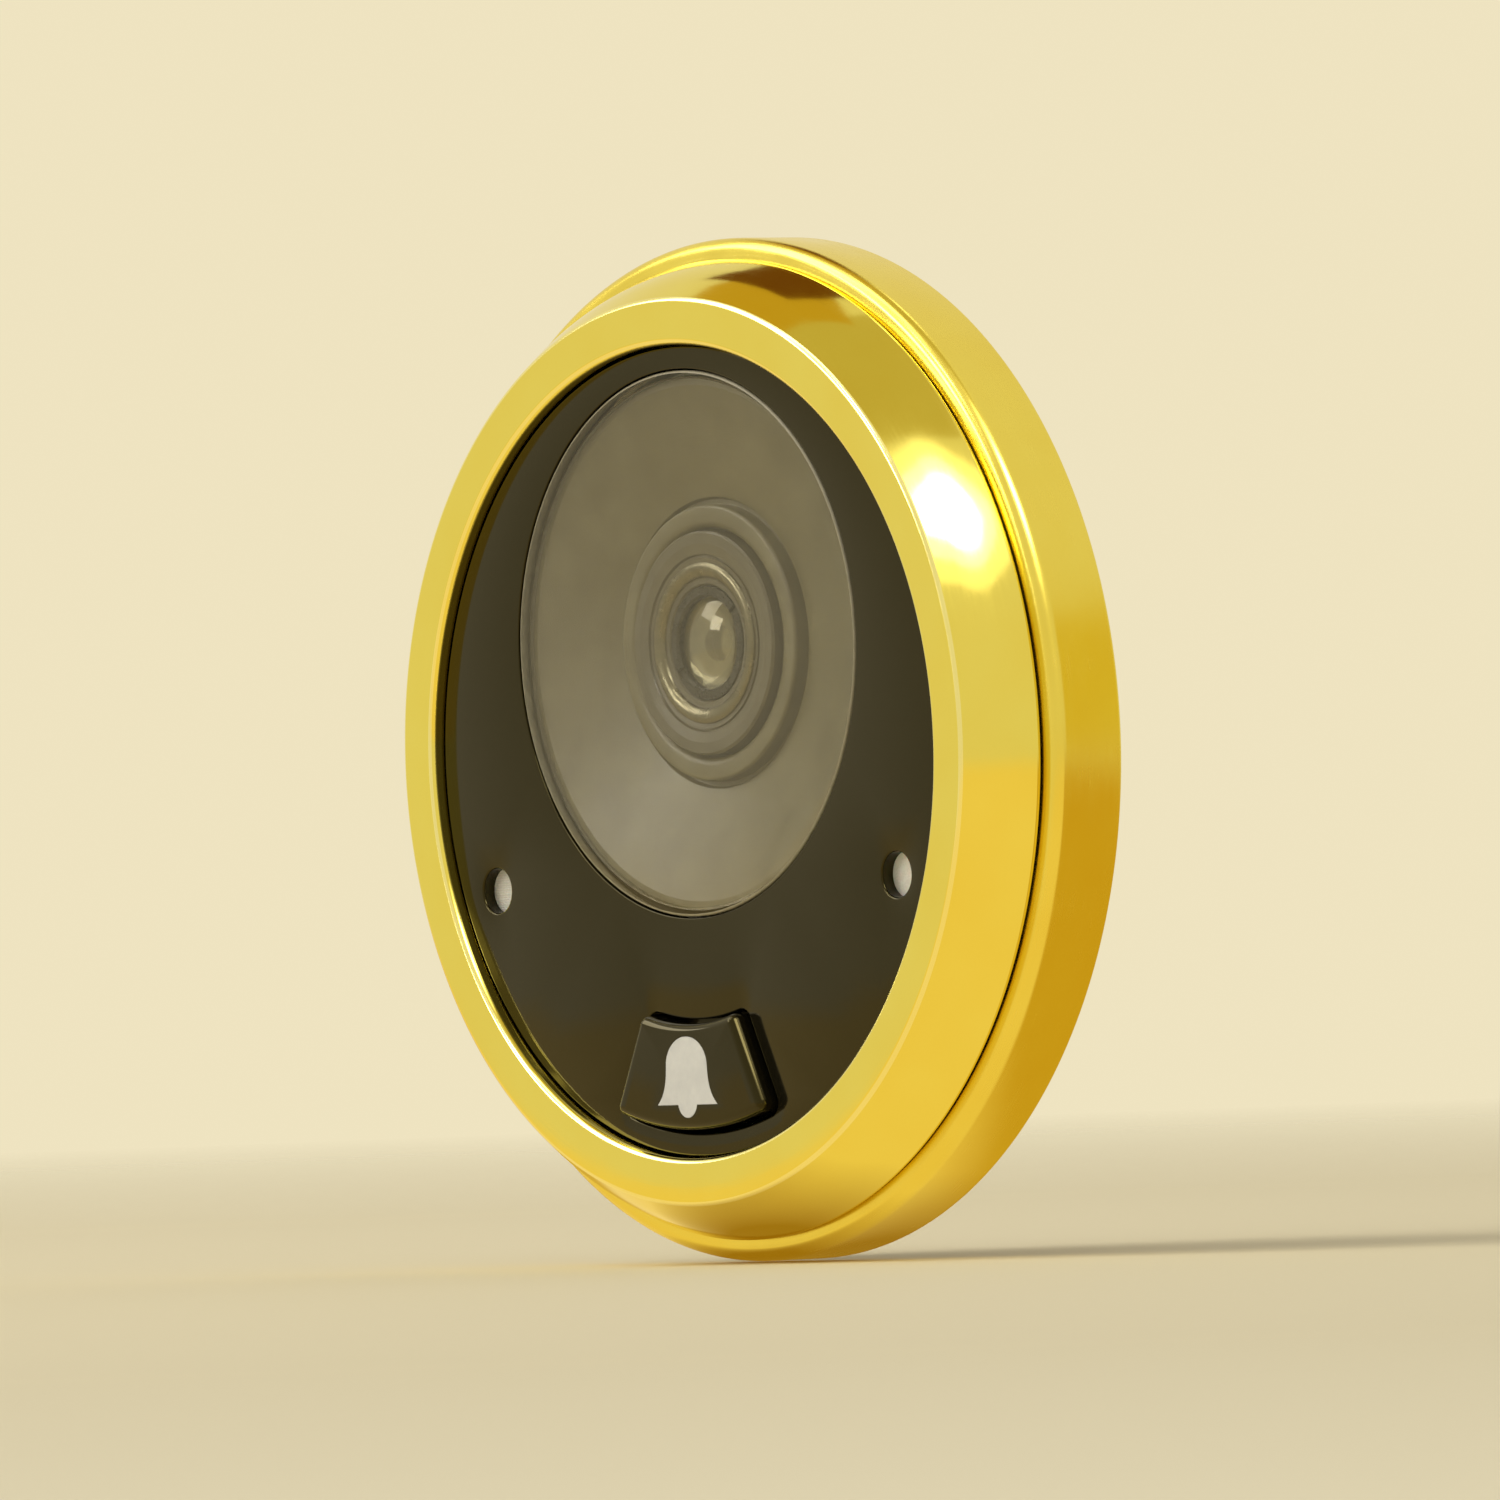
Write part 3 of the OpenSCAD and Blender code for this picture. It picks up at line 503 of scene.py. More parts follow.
def makeBase():
    s = base

    def profileAt(a):
        hole = keyedRadius(a, s["collar"], s["flat"])
        return roundCorners([
            (hole, s["back"], s["holeEdge"]), (s["outer"], s["back"], s["backEdge"]),
            (s["outer"], s["rim"], s["edge"]), (s["inner"], s["rim"], s["rimEdge"]),
            (s["inner"], s["floor"], s["floorEdge"]), (s["head"], s["floor"], s["headEdge"]),
            (s["head"], s["headSeat"], 0), (hole, s["headSeat"], 0)], 8)

    bm = bmesh.new()
    turnOnLathe(bm, profileAt, keyedAngles(s["collar"], s["flat"], s["steps"]))
    piece = addPiece("baseDish", bm, finishBase, ["base_dish"])
    carve(piece, [solidTool(barProfile(screws["boss"], s["bossBack"], s["bossFront"]), spot)
                  for spot in screwSpots()], "UNION")
    low, step, high = (screws[k] for k in ("headStart", "headFloor", "holeEnd"))
    headRecess = [(0, low), (screws["headHole"], low), (screws["headHole"], step), (screws["hole"], step),
                  (screws["hole"], high), (0, high)]
    carve(piece, [solidTool(headRecess, spot) for spot in screwSpots()], "DIFFERENCE")


makeBase()

# hollow stem with a thread outside and one in the bore
stem = {"outer": 7.0, "root": 6.4, "bore": 5.0, "boreRoot": 5.4, "relief": 5.5, "reliefEnd": -3.0, "end": -15.0,
        "pitch": 1.0, "runOut": 0.5, "collar": 7.8, "flat": 7.1, "head": 9.3, "headSeat": 1.1, "headFront": 1.7,
        "collarEdge": 0.12, "headEdge": 0.1, "steps": 144, "crest": (0.0, 0.03, 0.10, 0.13, 0.42, 0.46, 0.66, 0.70),
        "crestSoft": 0.12, "rootSoft": 0.9}


def threadShare(phase):  # 0 on the crest, 1 in the root
    marks = stem["crest"]
    if phase <= marks[3]:
        return stem["crestSoft"] if phase in (marks[0], marks[3]) else 0.0
    if phase <= marks[6]:
        return stem["rootSoft"] if phase == marks[4] else 1.0
    return stem["rootSoft"]


def makeStem():
    s = stem
    rows = []
    for turn in range(int(-s["end"] / s["pitch"]) + 3):
        rows += [(turn + phase, threadShare(phase)) for phase in s["crest"]]
    angles = keyedAngles(s["collar"], s["flat"], s["steps"])
    angles.append(2 * math.pi)
    bm = bmesh.new()
    columns = []
    for a in angles:
        shift = a / (2 * math.pi) - 1
        points = []
        for row, share in rows:  # outside, from the free end to the collar
            z = min(max(s["end"] + s["pitch"] * (row + shift), s["end"]), 0)
            r = s["outer"] - (s["outer"] - s["root"]) * share
            r = min(r, s["root"] + z - s["end"], s["root"] + max(0, -z - s["runOut"]))
            points.append((r, z))
        collar = keyedRadius(a, s["collar"], s["flat"])
        c, h = s["collarEdge"], s["headEdge"]
        points += [(collar - c, 0), (collar, c), (collar, s["headSeat"]), (s["head"], s["headSeat"]),
                   (s["head"], s["headFront"] - h), (s["head"] - h, s["headFront"]),
                   (s["relief"] + h, s["headFront"]), (s["relief"], s["headFront"] - h),
                   (s["relief"], s["reliefEnd"])]
        for row, share in reversed(rows):  # bore, from the relief to the free end
            z = min(max(s["end"] + s["pitch"] * (row + shift), s["end"]), s["reliefEnd"])
            r = s["bore"] + (s["boreRoot"] - s["bore"]) * share
            r = max(r, s["boreRoot"] - z + s["end"], s["boreRoot"] + z - s["reliefEnd"])
            points.append((r, z))
        columns.append([bm.verts.new(toPart(r * math.cos(a), r * math.sin(a), z)) for r, z in points])
    for column, other in zip(columns, columns[1:]):
        for j in range(len(column)):
            k = (j + 1) % len(column)
            bm.faces.new((column[j], other[j], other[k], column[k]))
    addPiece("threadedStem", bm, finishBrass, ["threaded_stem"], sharp=25)


makeStem()

# foam between base and door
pad = {"inner": 10.8, "outer": 27.6, "thick": 0.5, "soft": 0.14, "steps": 192}


def makePad():
    s = pad
    bm = bmesh.new()
    turnOnLathe(bm, roundCorners([(s["inner"], 0, s["soft"]), (s["outer"], 0, s["soft"]),
                                  (s["outer"], s["thick"], s["soft"]), (s["inner"], s["thick"], s["soft"])], 5),
                evenAngles(s["steps"]))
    piece = addPiece("foamPad", bm, finishFoam, ["seal_pad"])


makePad()
print("ring, base, stem and pad made")

# bell key outline, concentric with the face
key = {"inner": 15.4, "outer": 21.4, "topWidth": 8.4, "flare": 26.0, "corner": 0.5, "gap": 0.25, "rimWide": 0.6,
       "rimBack": 6.4, "rimFront": 6.9, "rimEdge": 0.08, "front": 9.6, "edge": 0.55, "postR": 1.1, "postBack": 5.5,
       "postEdge": 0.1}
keyMiddle = (0, -(key["inner"] + key["outer"]) / 2)


def keyLoop(grow, outerGrow=None, arcSteps=28, cornerSteps=8):
    s = key
    flare = math.radians(s["flare"])
    innerR = s["inner"] - grow
    outerR = s["outer"] + (grow if outerGrow is None else outerGrow)
    corner = max(s["corner"] + grow, 0.05)
    half = s["topWidth"] / 2
    tip = half / math.tan(flare) - math.sqrt(s["inner"] ** 2 - half ** 2) + grow / math.sin(flare)
    normal = Vector((math.cos(flare), math.sin(flare)))
    along = Vector((math.sin(flare), -math.cos(flare)))
    start = Vector((0, tip)) - normal * corner

    def centreAt(reach):
        b = start.dot(along)
        return start + along * (-b + math.sqrt(b * b - start.length_squared + reach * reach))

    low, high = centreAt(outerR - corner), centreAt(innerR + corner)
    lowAngle, highAngle = math.atan2(low.y, low.x), math.atan2(high.y, high.x)
    right = []
    for i in range(cornerSteps + 1):
        a = lowAngle + (flare - lowAngle) * i / cornerSteps
        right.append((low.x + corner * math.cos(a), low.y + corner * math.sin(a)))
    for i in range(cornerSteps + 1):
        a = flare + (highAngle + math.pi - flare) * i / cornerSteps
        right.append((high.x + corner * math.cos(a), high.y + corner * math.sin(a)))
    top = []
    for i in range(1, arcSteps):
        a = highAngle + (-math.pi - 2 * highAngle) * i / arcSteps
        top.append((innerR * math.cos(a), innerR * math.sin(a)))
    bottom = []
    for i in range(1, arcSteps):
        a = -math.pi - lowAngle + (2 * lowAngle + math.pi) * i / arcSteps
        bottom.append((outerR * math.cos(a), outerR * math.sin(a)))
    left = [(-x, y) for x, y in reversed(right)]
    return right + top + left + bottom


# bell let into the key, as shares of the key and of the bell itself; the last three are depth and edge
bell = {"tall": 0.77, "half": 0.6, "body": 0.84, "clapper": 0.19, "crown": 0.42, "crownWide": 0.68, "skirtWide": 0.32,
        "skirtCurve": 5, "crowding": 1.6, "deep": 0.6, "edge": 0.03, "edgeShrink": 0.012}


def bellLoop(shrink=0.0, steps=26, clapperSteps=14):
    s = bell
    tall = (key["outer"] - key["inner"]) * s["tall"]
    half, body, clapper = tall * s["half"], tall * s["body"], tall * s["clapper"]
    top = tall / 2
    side = []
    for i in range(1, steps + 1):
        t = (i / steps) ** s["crowding"]  # closer points round the crown
        dome = math.sqrt(1 - (1 - min(t / s["crown"], 1)) ** 2)
        side.append((half * (s["crownWide"] * dome + s["skirtWide"] * t ** s["skirtCurve"]), top - body * t))
    rim = top - body
    hang = clapper - top
    mouth = math.asin((rim - hang) / clapper)
    tongue = []
    for i in range(clapperSteps + 1):
        a = mouth - (math.pi + 2 * mouth) * i / clapperSteps
        tongue.append((clapper * math.cos(a), hang + clapper * math.sin(a)))
    outline = [(0, top)] + side + tongue + [(-x, y) for x, y in reversed(side)]
    return [(keyMiddle[0] + x * (1 - shrink), keyMiddle[1] + y * (1 - shrink)) for x, y in outline]


def makeKey():
    s = key
    bm = bmesh.new()
    rim = s["rimEdge"]
    steps = [(keyLoop(s["rimWide"] - rim, -rim), s["rimBack"]), (keyLoop(s["rimWide"], 0), s["rimBack"] + rim),
             (keyLoop(s["rimWide"], 0), s["rimFront"]), (keyLoop(0, 0), s["rimFront"])]
    for grow, z in edgeSteps(s["rimFront"], s["front"], 0, s["edge"], -1, 8)[9:]:
        steps.append((keyLoop(grow), z))
    outside = stackLoops(bm, steps)
    recess = stackLoops(bm, [(bellLoop(), s["front"]), (bellLoop(), s["front"] - bell["deep"])])
    post = stackLoops(bm, [(circleLoop(s["postR"], keyMiddle, 48), s["rimBack"]),
                           (circleLoop(s["postR"], keyMiddle, 48), s["postBack"] + s["postEdge"]),
                           (circleLoop(s["postR"] - s["postEdge"], keyMiddle, 48), s["postBack"])])
    capLoops(bm, outside[-1], recess[0])
    capLoops(bm, recess[1])
    capLoops(bm, outside[0], post[0])
    capLoops(bm, post[-1])
    addPiece("bellKey", bm, finishBlack, ["bell_key"], body="key")

    bm = bmesh.new()
    rings = stackLoops(bm, [(bellLoop(), s["front"] - bell["deep"]), (bellLoop(), s["front"] - bell["edge"]),
                            (bellLoop(bell["edgeShrink"]), s["front"])])
    capLoops(bm, rings[0])
    capLoops(bm, rings[-1])
    addPiece("bellSymbol", bm, finishPale, ["bell_symbol"], body="key")


makeKey()

# black face with its openings
panel = {"outer": 22.9, "back": 6.95, "face": 8.55, "edge": 0.12, "backEdge": 0.05, "window": 15.55, "lensUp": 6.1,
         "hole": 1.3, "holeStep": 1.8, "holeFloor": 7.75, "holeX": 18.4046, "holeY": -7.4359}
lensCentre = (0, panel["lensUp"])


def makePanel():
    s = panel
    bm = bmesh.new()
    e = s["edge"]
    outside = stackLoops(bm, [(circleLoop(s["outer"] + g, steps=256), z)
                              for g, z in edgeSteps(s["back"], s["face"], e, e, -1)])
    window = stackLoops(bm, [(circleLoop(s["window"] + g, lensCentre, 192), z)
                             for g, z in edgeSteps(s["back"], s["face"], s["backEdge"], e / 2, 1)])
    keyHole = stackLoops(bm, [(keyLoop(key["gap"] + g), z)
                              for g, z in edgeSteps(s["back"], s["face"], s["backEdge"], e, 1)])
    holes = []
    for side in (-1, 1):
        spot = (side * s["holeX"], s["holeY"])
        steps = [(s["holeStep"], s["back"]), (s["holeStep"], s["holeFloor"]), (s["hole"], s["holeFloor"])]
        steps += [(s["hole"] + g, z) for g, z in edgeSteps(s["holeFloor"], s["face"], 0, e, 1)[6:]]
        holes.append(stackLoops(bm, [(circleLoop(r, spot, 64), z) for r, z in steps]))
    for end in (0, -1):
        capLoops(bm, outside[end], window[end], keyHole[end], *(h[end] for h in holes))
    addPiece("facePanel", bm, finishBlack, ["front_panel"])


makePanel()
print("face and key made")

# domed window, cut flat at the top where the ring is close
window = {"outer": 15.45, "inner": 15.05, "face": 8.55, "dome": 0.5, "back": 7.65, "rimBack": 6.05, "rimFront": 6.75,
          "rim": 16.65, "rimLeast": 0.01, "trim": 21.0, "edge": 0.15, "edgeTurns": (0, 0.4, 0.8, 1.2), "backEdge": 0.1,
          "paleShare": 0.95, "domeSteps": 24, "steps": 192}


def trimmedRim(a, least, most):
    up = lensCentre[1]
    reach = -up * math.sin(a) + math.sqrt(window["trim"] ** 2 - (up * math.cos(a)) ** 2)
    return max(least, min(most, reach))


def domeArc(r, edge, rise, steps):  # from the rim to the middle
    ball = (r * r + rise * rise) / (2 * rise)
    return [(r * (1 - i / steps), edge + rise - ball + math.sqrt(ball * ball - (r * (1 - i / steps)) ** 2))
            for i in range(steps + 1)]


def makeWindow():
    s = window

    def profileAt(a):
        rim = trimmedRim(a, s["outer"] + s["rimLeast"], s["rim"])
        dome = domeArc(s["outer"] - s["edge"], s["face"], s["dome"], s["domeSteps"])
        fall = [(s["outer"] - s["edge"] * (1 - math.cos(t)), s["face"] - s["edge"] * (1 - math.sin(t)))
                for t in s["edgeTurns"]]
        return [(0, s["back"]), (s["inner"] - s["backEdge"], s["back"]), (s["inner"], s["back"] - s["backEdge"]),
                (s["inner"], s["rimBack"]), (rim, s["rimBack"]), (rim, s["rimFront"]),
                (s["outer"], s["rimFront"])] + fall + dome

    bm = bmesh.new()
    turnOnLathe(bm, profileAt, evenAngles(s["steps"]), lensCentre, closed=False)
    for face in bm.faces:  # pale grey on the window's side wall and front bevel, which draws a pale line round the window
        spot = face.calc_center_median() / mm
        reach = math.hypot(spot.x - lensCentre[0], spot.z - lensCentre[1])
        face.material_index = int(reach > s["outer"] - s["edge"] * s["paleShare"] and -spot.y > s["rimFront"])
    addPiece("cameraWindow", bm, [finishWindow, finishRim], ["window_dome"])


makeWindow()

# grey funnel with the ring round the lens
funnel = {"bore": 6.4, "boreEdge": 0.5, "ring": 7.6, "ringTop": 7.75, "ringFront": 6.3, "ringEdge": 0.2, "groove": 0.3,
          "grooveDeep": 0.3, "grooveLip": 0.1, "grooveEdge": 0.05, "cone": 5.75, "outer": 15.0, "edge": 0.45,
          "frontEdge": 0.12, "front": 7.35, "back": 3.1, "backEdge": 0.1, "under": 4.35, "underEdge": 0.3,
          "wall": 14.1, "rimBack": 5.45, "rimFront": 6.05, "rim": 16.65, "steps": 192}


def makeFunnel():
    s = funnel

    def profileAt(a):
        rim = trimmedRim(a, s["outer"] + window["rimLeast"], s["rim"])
        grooveOut, grooveFloor = s["ringTop"] + s["groove"], s["cone"] - s["grooveDeep"]
        return roundCorners([
            (s["bore"], s["back"], s["backEdge"]), (s["ring"], s["back"], s["backEdge"]),
            (s["ring"], s["under"], s["underEdge"]), (s["wall"], s["rimBack"], s["backEdge"]),
            (rim, s["rimBack"], 0), (rim, s["rimFront"], 0),
            (s["outer"], s["rimFront"], 0), (s["outer"], s["front"], s["frontEdge"]),
            (s["outer"] - s["edge"], s["front"], s["frontEdge"]),
            (grooveOut + s["grooveLip"], s["cone"], s["grooveLip"]), (grooveOut, grooveFloor, s["grooveEdge"]),
            (s["ringTop"], grooveFloor, s["grooveEdge"]), (s["ringTop"], s["ringFront"], s["ringEdge"]),
            (s["bore"], s["ringFront"], s["boreEdge"])], 6)

    bm = bmesh.new()
    turnOnLathe(bm, profileAt, evenAngles(s["steps"]), lensCentre)
    addPiece("lensFunnel", bm, finishShroud, ["lens_shroud"])


makeFunnel()

# lens barrel with stepped front, retaining ring and glasses
barrel = {"thread": 4.0, "head": 6.3, "back": 4.55, "headBack": 5.25, "rim": 6.65, "rimInner": 5.6, "front": 6.35,
          "dishInner": 3.55, "glassBore": 3.25, "glassSeat": 5.6, "stopBore": 2.75, "stopSeat": 5.2, "rearBore": 2.15,
          "rearSeat": 4.7, "rearLip": 1.5, "groove": 4.9, "grooveDeep": 0.12, "grooveCut": (0.1, 0.02, -0.06, -0.08),
          "bead": 4.1, "beadHalf": 0.45, "beadHigh": 0.26, "headEdge": 0.12, "rimEdge": 0.06, "backEdge": (0.15, 0.1),
          "boreEdge": 0.1, "steps": 160}


def makeBarrel():
    s = barrel

    def dishAt(r):  # shallow cone inside the rim
        return s["front"] + (s["rim"] - s["front"]) * (r - s["dishInner"]) / (s["rimInner"] - s["dishInner"])

    e, r = s["headEdge"], s["groove"]
    start, low, high, end = (r + cut for cut in s["grooveCut"])
    front = [(s["head"], s["rim"] - e, 0), (s["head"] - e, s["rim"], 0), (s["rimInner"], s["rim"], s["rimEdge"]),
             (start, dishAt(start), 0), (low, dishAt(r) - s["grooveDeep"], 0), (high, dishAt(r) - s["grooveDeep"], 0),
             (end, dishAt(end), 0)]
    for k in range(9):
        a = math.pi * k / 8
        r = s["bead"] + s["beadHalf"] * math.cos(a)
        front.append((r, dishAt(r) + s["beadHigh"] * math.sin(a), 0))
    front.append((s["dishInner"], s["front"], 0))
    profile = roundCorners([
        (s["rearLip"], s["back"], 0), (s["thread"], s["back"], s["backEdge"][0]), (s["thread"], s["headBack"], 0),
        (s["head"], s["headBack"], s["backEdge"][1]), *front, (s["glassBore"] + s["boreEdge"], s["front"], 0),
        (s["glassBore"], s["front"] - s["boreEdge"], 0), (s["glassBore"], s["glassSeat"], 0),
        (s["stopBore"], s["glassSeat"], 0), (s["stopBore"], s["stopSeat"], 0), (s["rearBore"], s["stopSeat"], 0),
        (s["rearBore"], s["rearSeat"], 0), (s["rearLip"], s["rearSeat"], 0)], 5)
    bm = bmesh.new()
    turnOnLathe(bm, profile, evenAngles(s["steps"]), lensCentre)
    for face in bm.faces:  # bright bead round the glass
        spot = face.calc_center_median() / mm
        reach = math.hypot(spot.x - lensCentre[0], spot.z - lensCentre[1])
        face.material_index = int(abs(reach - s["bead"]) < s["beadHalf"] and -spot.y > s["front"])
    addPiece("lensBarrel", bm, [finishBarrel, finishBead], ["lens_barrel"])


makeBarrel()

retainer = {"inner": 2.6, "outer": 3.2, "back": 5.95, "front": 6.35, "chamfer": 0.12, "edge": 0.02, "notch": 0.2,
            "notchTurns": (0.6, 0.6 + math.pi), "notchHalf": 0.09, "steps": 160}


def makeRetainer():  # two notches take the tool that screws it in
    s = retainer
    angles = evenAngles(s["steps"])
    for turn in s["notchTurns"]:
        angles += [turn + k * s["notchHalf"] for k in (-1.02, -1, 1, 1.02)]
    angles.sort()

    def profileAt(a):
        inNotch = min(abs(a - turn) for turn in s["notchTurns"]) <= s["notchHalf"] * 1.001
        top = s["front"] - (s["notch"] if inNotch else 0)
        cut = s["edge"] if inNotch else s["chamfer"]
        return [(s["inner"], s["back"]), (s["outer"], s["back"]), (s["outer"], top - s["edge"]),
                (s["outer"] - s["edge"], top), (s["inner"] + cut, top), (s["inner"], top - cut)]

    bm = bmesh.new()
    turnOnLathe(bm, profileAt, angles, lensCentre)
    addPiece("glassRetainer", bm, finishRetainer, ["glass_retainer"])


makeRetainer()

glass = {"outer": 3.2, "seat": 5.6, "edge": 5.95, "crown": 2.55, "rise": 0.7, "hollow": 1.8, "hollowRise": 0.175,
         "rimEdge": 0.06, "rearOuter": 2.1, "rearBack": 4.7, "rearRim": 5.0333, "rearRise": 0.1667, "rearEdge": 0.05,
         "steps": 128, "rearSteps": 96}


def makeGlasses():
    s = glass
    e = s["rimEdge"]
    profile = domeArc(s["hollow"], s["seat"], s["hollowRise"], 16)[::-1]
    profile += [(s["outer"] - e, s["seat"]), (s["outer"], s["seat"] + e), (s["outer"], s["edge"] - e),
                (s["outer"] - e, s["edge"])] + domeArc(s["crown"], s["edge"], s["rise"], 32)
    bm = bmesh.new()
    turnOnLathe(bm, profile, evenAngles(s["steps"]), lensCentre, closed=False)
    addPiece("frontGlass", bm, finishLens, ["front_glass"])
    e = s["rearEdge"]
    profile = [(0, s["rearBack"]), (s["rearOuter"] - e, s["rearBack"]), (s["rearOuter"], s["rearBack"] + e)]
    profile += domeArc(s["rearOuter"], s["rearRim"], s["rearRise"], 16)
    bm = bmesh.new()
    turnOnLathe(bm, profile, evenAngles(s["rearSteps"]), lensCentre, closed=False)
    addPiece("rearGlass", bm, finishLens, ["rear_glass"])


makeGlasses()
print("window, funnel and lens made")

# cable socket with its contacts, seen through the stem
socket = {"wide": 6.0, "tall": 3.4, "back": -0.7, "board": 2.3, "pocketWide": 4.8, "pocketTall": 2.0, "floor": 1.3,
          "corner": 0.25, "mouthEdge": 0.12, "lead": 0.15, "leadWide": 0.2, "leadCorner": 0.2, "pocketCorner": 0.15,
          "pins": 6, "pitch": 0.7, "rowOff": 0.62, "pinWide": 0.26, "pinCorner": 0.05, "pinLong": 1.3, "pinSunk": 0.3,
          "tip": 0.1, "tipWide": 0.13, "tipCorner": 0.03}


def makeSocket():
    s = socket
    bm = bmesh.new()
    e, lead = s["mouthEdge"], s["leadWide"]
    shell = boxLoop(s["wide"], s["tall"], s["corner"])
    mouth = boxLoop(s["wide"] - 2 * e, s["tall"] - 2 * e, s["corner"])
    outside = stackLoops(bm, [(shell, s["board"]), (shell, s["back"] + e), (mouth, s["back"])])
    walls = boxLoop(s["pocketWide"], s["pocketTall"], s["pocketCorner"])
    entry = boxLoop(s["pocketWide"] + lead, s["pocketTall"] + lead, s["leadCorner"])
    pocket = stackLoops(bm, [(entry, s["back"]), (walls, s["back"] + s["lead"]), (walls, s["floor"])])
    capLoops(bm, outside[0])
    capLoops(bm, outside[-1], pocket[0])
    capLoops(bm, pocket[-1])
    for row in (-1, 1):
        for i in range(s["pins"]):
            spot = ((i - (s["pins"] - 1) / 2) * s["pitch"], row * s["rowOff"])
            before = set(bm.faces)
            shank = boxLoop(s["pinWide"], s["pinWide"], s["pinCorner"], spot, 2)
            tip = boxLoop(s["tipWide"], s["tipWide"], s["tipCorner"], spot, 2)
            end = s["floor"] - s["pinLong"]
            pin = stackLoops(bm, [(shank, s["floor"] + s["pinSunk"]), (shank, end + s["tip"]), (tip, end)])
            capLoops(bm, pin[0])
            capLoops(bm, pin[-1])
            for face in set(bm.faces) - before:
                face.material_index = 1
    addPiece("cableSocket", bm, [finishIvory, finishBrass], ["cable_socket"])


makeSocket()

# finishes on the pieces that keep their own shape
kept = {"body_o_ring": finishRubber, "case_screws": finishScrew, "panel_tape": finishTape, "window_tape": finishTape,
        "lens_holder": finishInside, "aperture_stop": finishInside, "infrared_filter": finishFilter,
        "image_sensor": finishSensor, "camera_board": finishBoard, "image_processor": finishChip,
        "board_capacitors": finishCapacitor, "microphone": finishCan, "sound_tube": finishRubber,
        "sound_membrane": finishMembrane, "light_sensor": finishGuide, "light_guide": finishGuide,
        "switch_body": finishSwitch, "switch_plunger": finishIvory}
for name, finish in kept.items():
    nodes[name].data.materials.clear()
    nodes[name].data.materials.append(finish)
print("kept pieces finished:", len(kept))

# pale floor that fades into a pale surround, and soft lamps
# mirrored, behind and under are colours painted into the floor's reflection in the gold; under is a painted contact
# shadow
stage = {"floor": -0.0291, "reach": 0.9, "fade": (0.25, 0.85), "rough": 0.8, "pale": (0.86, 0.77, 0.53),
         "mirrored": (0.98, 0.76, 0.33), "behind": (0.68, 0.43, 0.05), "back": (-0.002, 0.004),
         "under": (0.40, 0.22, 0.02), "contact": (0.006, 0.014), "warm": (0.25, 0.5), "sky": (1.0, 0.97, 0.90),
         "skyLevel": 0.5, "lamp": (1.0, 0.96, 0.87)}


def addFloor():
    bm = bmesh.new()
    bmesh.ops.create_circle(bm, cap_ends=True, segments=96, radius=stage["reach"])
    mesh = bpy.data.meshes.new("floor")
    bm.to_mesh(mesh)
    bm.free()
    made = bpy.data.objects.new("floor", mesh)
    made.location = (0, 0, stage["floor"])
    scene.collection.objects.link(made)
    material, tree, shader = newFinish("floorPale", {"Base Color": (*stage["pale"], 1), "Roughness": stage["rough"]})
    place = addNode(tree, "ShaderNodeTexCoord").outputs["Object"]
    reach = addNode(tree, "ShaderNodeVectorMath", {0: place}, operation="LENGTH").outputs["Value"]
    fade = spread(tree, reach, 0, 1, *stage["fade"])
    clear = addNode(tree, "ShaderNodeBsdfTransparent").outputs[0]
    depth = addNode(tree, "ShaderNodeSeparateXYZ", {"Vector": place}).outputs["Y"]
    # painted reflection that the gold sees in the floor, for glossy rays only: warm in front, darker orange behind, a
    # painted contact shadow under the part, pale far off
    colour = between(tree, spread(tree, depth, 0, 1, *stage["back"]), stage["mirrored"], stage["behind"])
    colour = between(tree, spread(tree, reach, 0, 1, *stage["contact"]), stage["under"], colour)
    colour = between(tree, spread(tree, reach, 0, 1, *stage["warm"]), colour, stage["pale"])
    shown = addNode(tree, "ShaderNodeEmission", {"Color": colour, "Strength": 1.0}).outputs[0]
    glossy = addNode(tree, "ShaderNodeLightPath").outputs["Is Glossy Ray"]
    lit = addNode(tree, "ShaderNodeMixShader", {0: glossy, 1: shader.outputs[0], 2: shown}).outputs[0]
    both = addNode(tree, "ShaderNodeMixShader", {0: fade, 1: lit, 2: clear}).outputs[0]
    tree.links.new(both, tree.nodes["Material Output"].inputs["Surface"])
    mesh.materials.append(material)


def addSurround():
    world = bpy.data.worlds.new("surround")
    world.use_nodes = True
    tree = world.node_tree
    lit = tree.nodes["Background"]
    lit.inputs["Color"].default_value = (*stage["sky"], 1)
    lit.inputs["Strength"].default_value = stage["skyLevel"]
    seen = addNode(tree, "ShaderNodeBackground", {"Color": (*stage["pale"], 1), "Strength": 1.0})
    rays = addNode(tree, "ShaderNodeLightPath").outputs
    shown = mathStep(tree, "MAXIMUM", mathStep(tree, "MAXIMUM", rays["Is Camera Ray"], rays["Is Glossy Ray"]),
                     rays["Is Transmission Ray"])
    both = addNode(tree, "ShaderNodeMixShader", {0: shown, 1: lit.outputs[0], 2: seen.outputs[0]}).outputs[0]
    tree.links.new(both, tree.nodes["World Output"].inputs["Surface"])
    scene.world = world


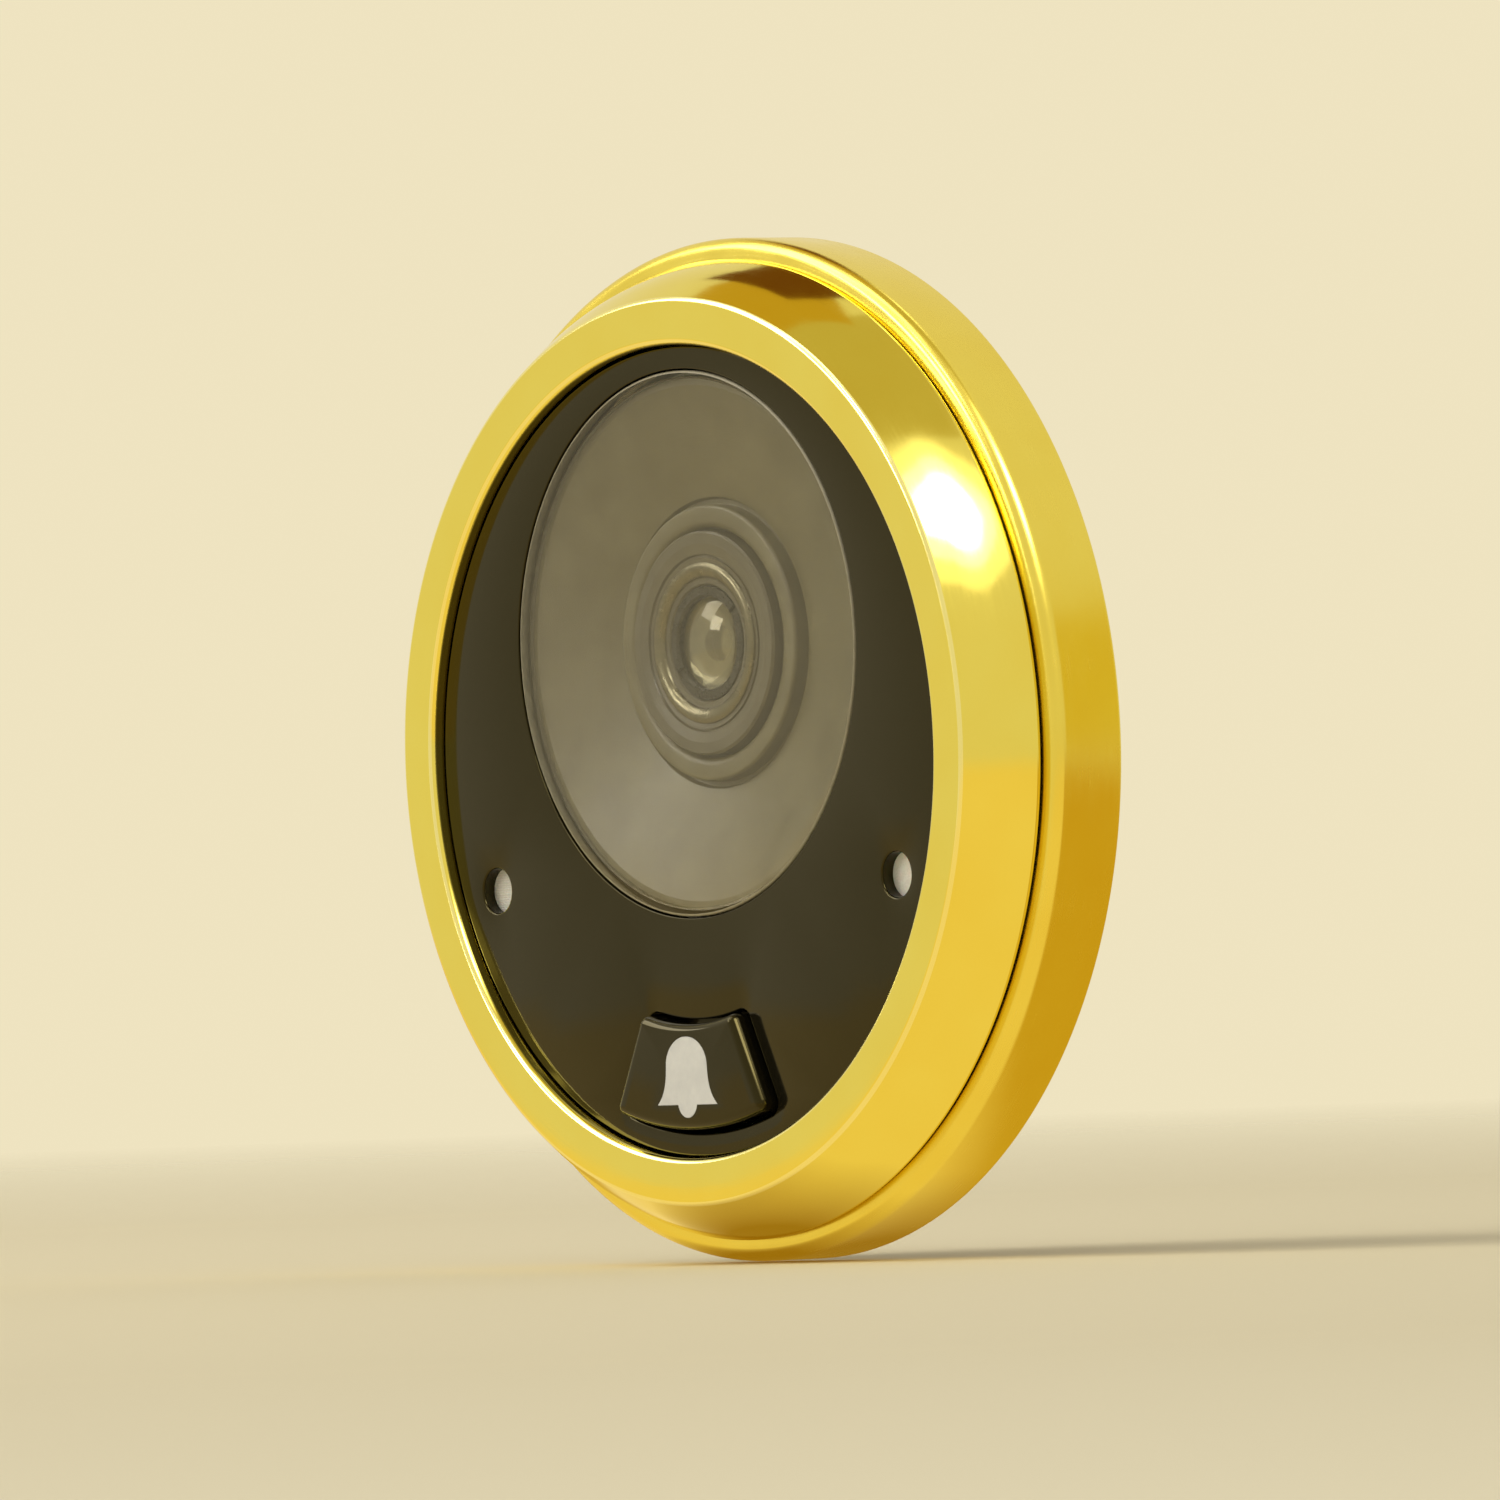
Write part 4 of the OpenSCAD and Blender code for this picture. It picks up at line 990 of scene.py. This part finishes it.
sparkWay = (0.60, -0.28, 0.745)  # bright spot on the upper right of the ring
lamps = {
    "softTop": {"toward": (-0.27, -0.44, 0.86), "away": 0.9, "size": (0.30, 0.24), "level": 2.5},
    "softLeft": {"toward": (-0.64, -0.50, 0.58), "away": 0.9, "size": (0.35, 0.5), "level": 4.0},
    "softFront": {"toward": (-0.50, -0.80, 0.33), "away": 1.0, "size": (0.3, 0.22), "level": 8.0},
    "spark": {"toward": sparkWay, "away": 0.85, "size": (0.40, 0.27), "level": 6.0, "onGloss": True},
    "sparkHalo": {"toward": sparkWay, "away": 0.86, "size": (0.52, 0.40), "level": 1.6, "onGloss": True},
    "sparkHaze": {"toward": sparkWay, "away": 0.87, "size": (0.70, 0.56), "level": 0.5, "onGloss": True},
    "glint": {"toward": (-0.17, -0.72, 0.67), "away": 0.9, "size": (0.16, 0.12), "level": 10.0, "onGloss": True},
    "glow": {"toward": (-0.16, 0.33, 0.93), "away": 0.85, "size": (0.14, 0.12), "level": 1.5, "onGloss": True},
}


def addLamps():
    for name, lamp in lamps.items():
        glossOnly = lamp.get("onGloss", False)  # small round lamps that only show as highlights
        data = bpy.data.lights.new(name, "AREA")
        data.shape = "ELLIPSE" if glossOnly else "RECTANGLE"
        data.size, data.size_y = lamp["size"]
        data.energy = lamp["level"] * math.pi * lamp["size"][0] * lamp["size"][1]
        data.color = stage["lamp"]
        made = bpy.data.objects.new(name, data)
        way = Vector(lamp["toward"]).normalized()
        made.location = way * lamp["away"]
        made.rotation_mode = "QUATERNION"
        made.rotation_quaternion = way.to_track_quat("Z", "Y")
        made.visible_camera = False
        made.visible_diffuse = not glossOnly
        scene.collection.objects.link(made)


# glowing cards out of the picture, seen only in the polished gold as painted reflections; flagDark paints the dark
# patch at the top of the ring
flags = {
    "cardAbove": {"toward": (0.022, -0.078, 0.995), "along": (0.95, -0.31, 0.0), "away": 0.8, "size": (0.58, 0.43),
                  "colour": (0.61, 0.495, 0.19)},
    "flagAbove": {"toward": (-0.489, 0.085, 0.867), "along": (-0.455, 0.28, -0.3), "away": 0.75, "size": (0.38, 0.29),
                  "colour": (0.60, 0.38, 0.045)},
    "flagDark": {"toward": (-0.53, 0.285, 0.79), "along": (-0.348, 0.187, -0.3), "away": 0.7, "size": (0.29, 0.2),
                 "colour": (0.16, 0.06, 0.008)},
    "cardBehind": {"toward": (0.74, 0.63, 0.17), "along": (0.64, -0.76, 0.0), "away": 0.8, "size": (0.6, 0.34),
                   "colour": (0.78, 0.60, 0.12)},
}


def addFlags():
    for name, flag in flags.items():
        material, tree, shader = newFinish(name, {
            "Base Color": (0, 0, 0, 1), "Specular IOR Level": 0.0, "Emission Color": (*flag["colour"], 1),
            "Emission Strength": 1.0})
        w, h = flag["size"]
        mesh = bpy.data.meshes.new(name)
        mesh.from_pydata([(x * w / 2, y * h / 2, 0) for x, y in ((-1, -1), (1, -1), (1, 1), (-1, 1))], [],
                         [(0, 1, 2, 3)])
        mesh.materials.append(material)
        made = bpy.data.objects.new(name, mesh)
        way = Vector(flag["toward"]).normalized()
        across = Vector(flag["along"])
        across = (across - way * across.dot(way)).normalized()
        made.matrix_world = Matrix((across, way.cross(across), way)).transposed().to_4x4()
        made.location = way * flag["away"]
        made.visible_camera = made.visible_diffuse = made.visible_shadow = False
        scene.collection.objects.link(made)


addFloor()
addSurround()
addLamps()
addFlags()
print("stage and lamps set")
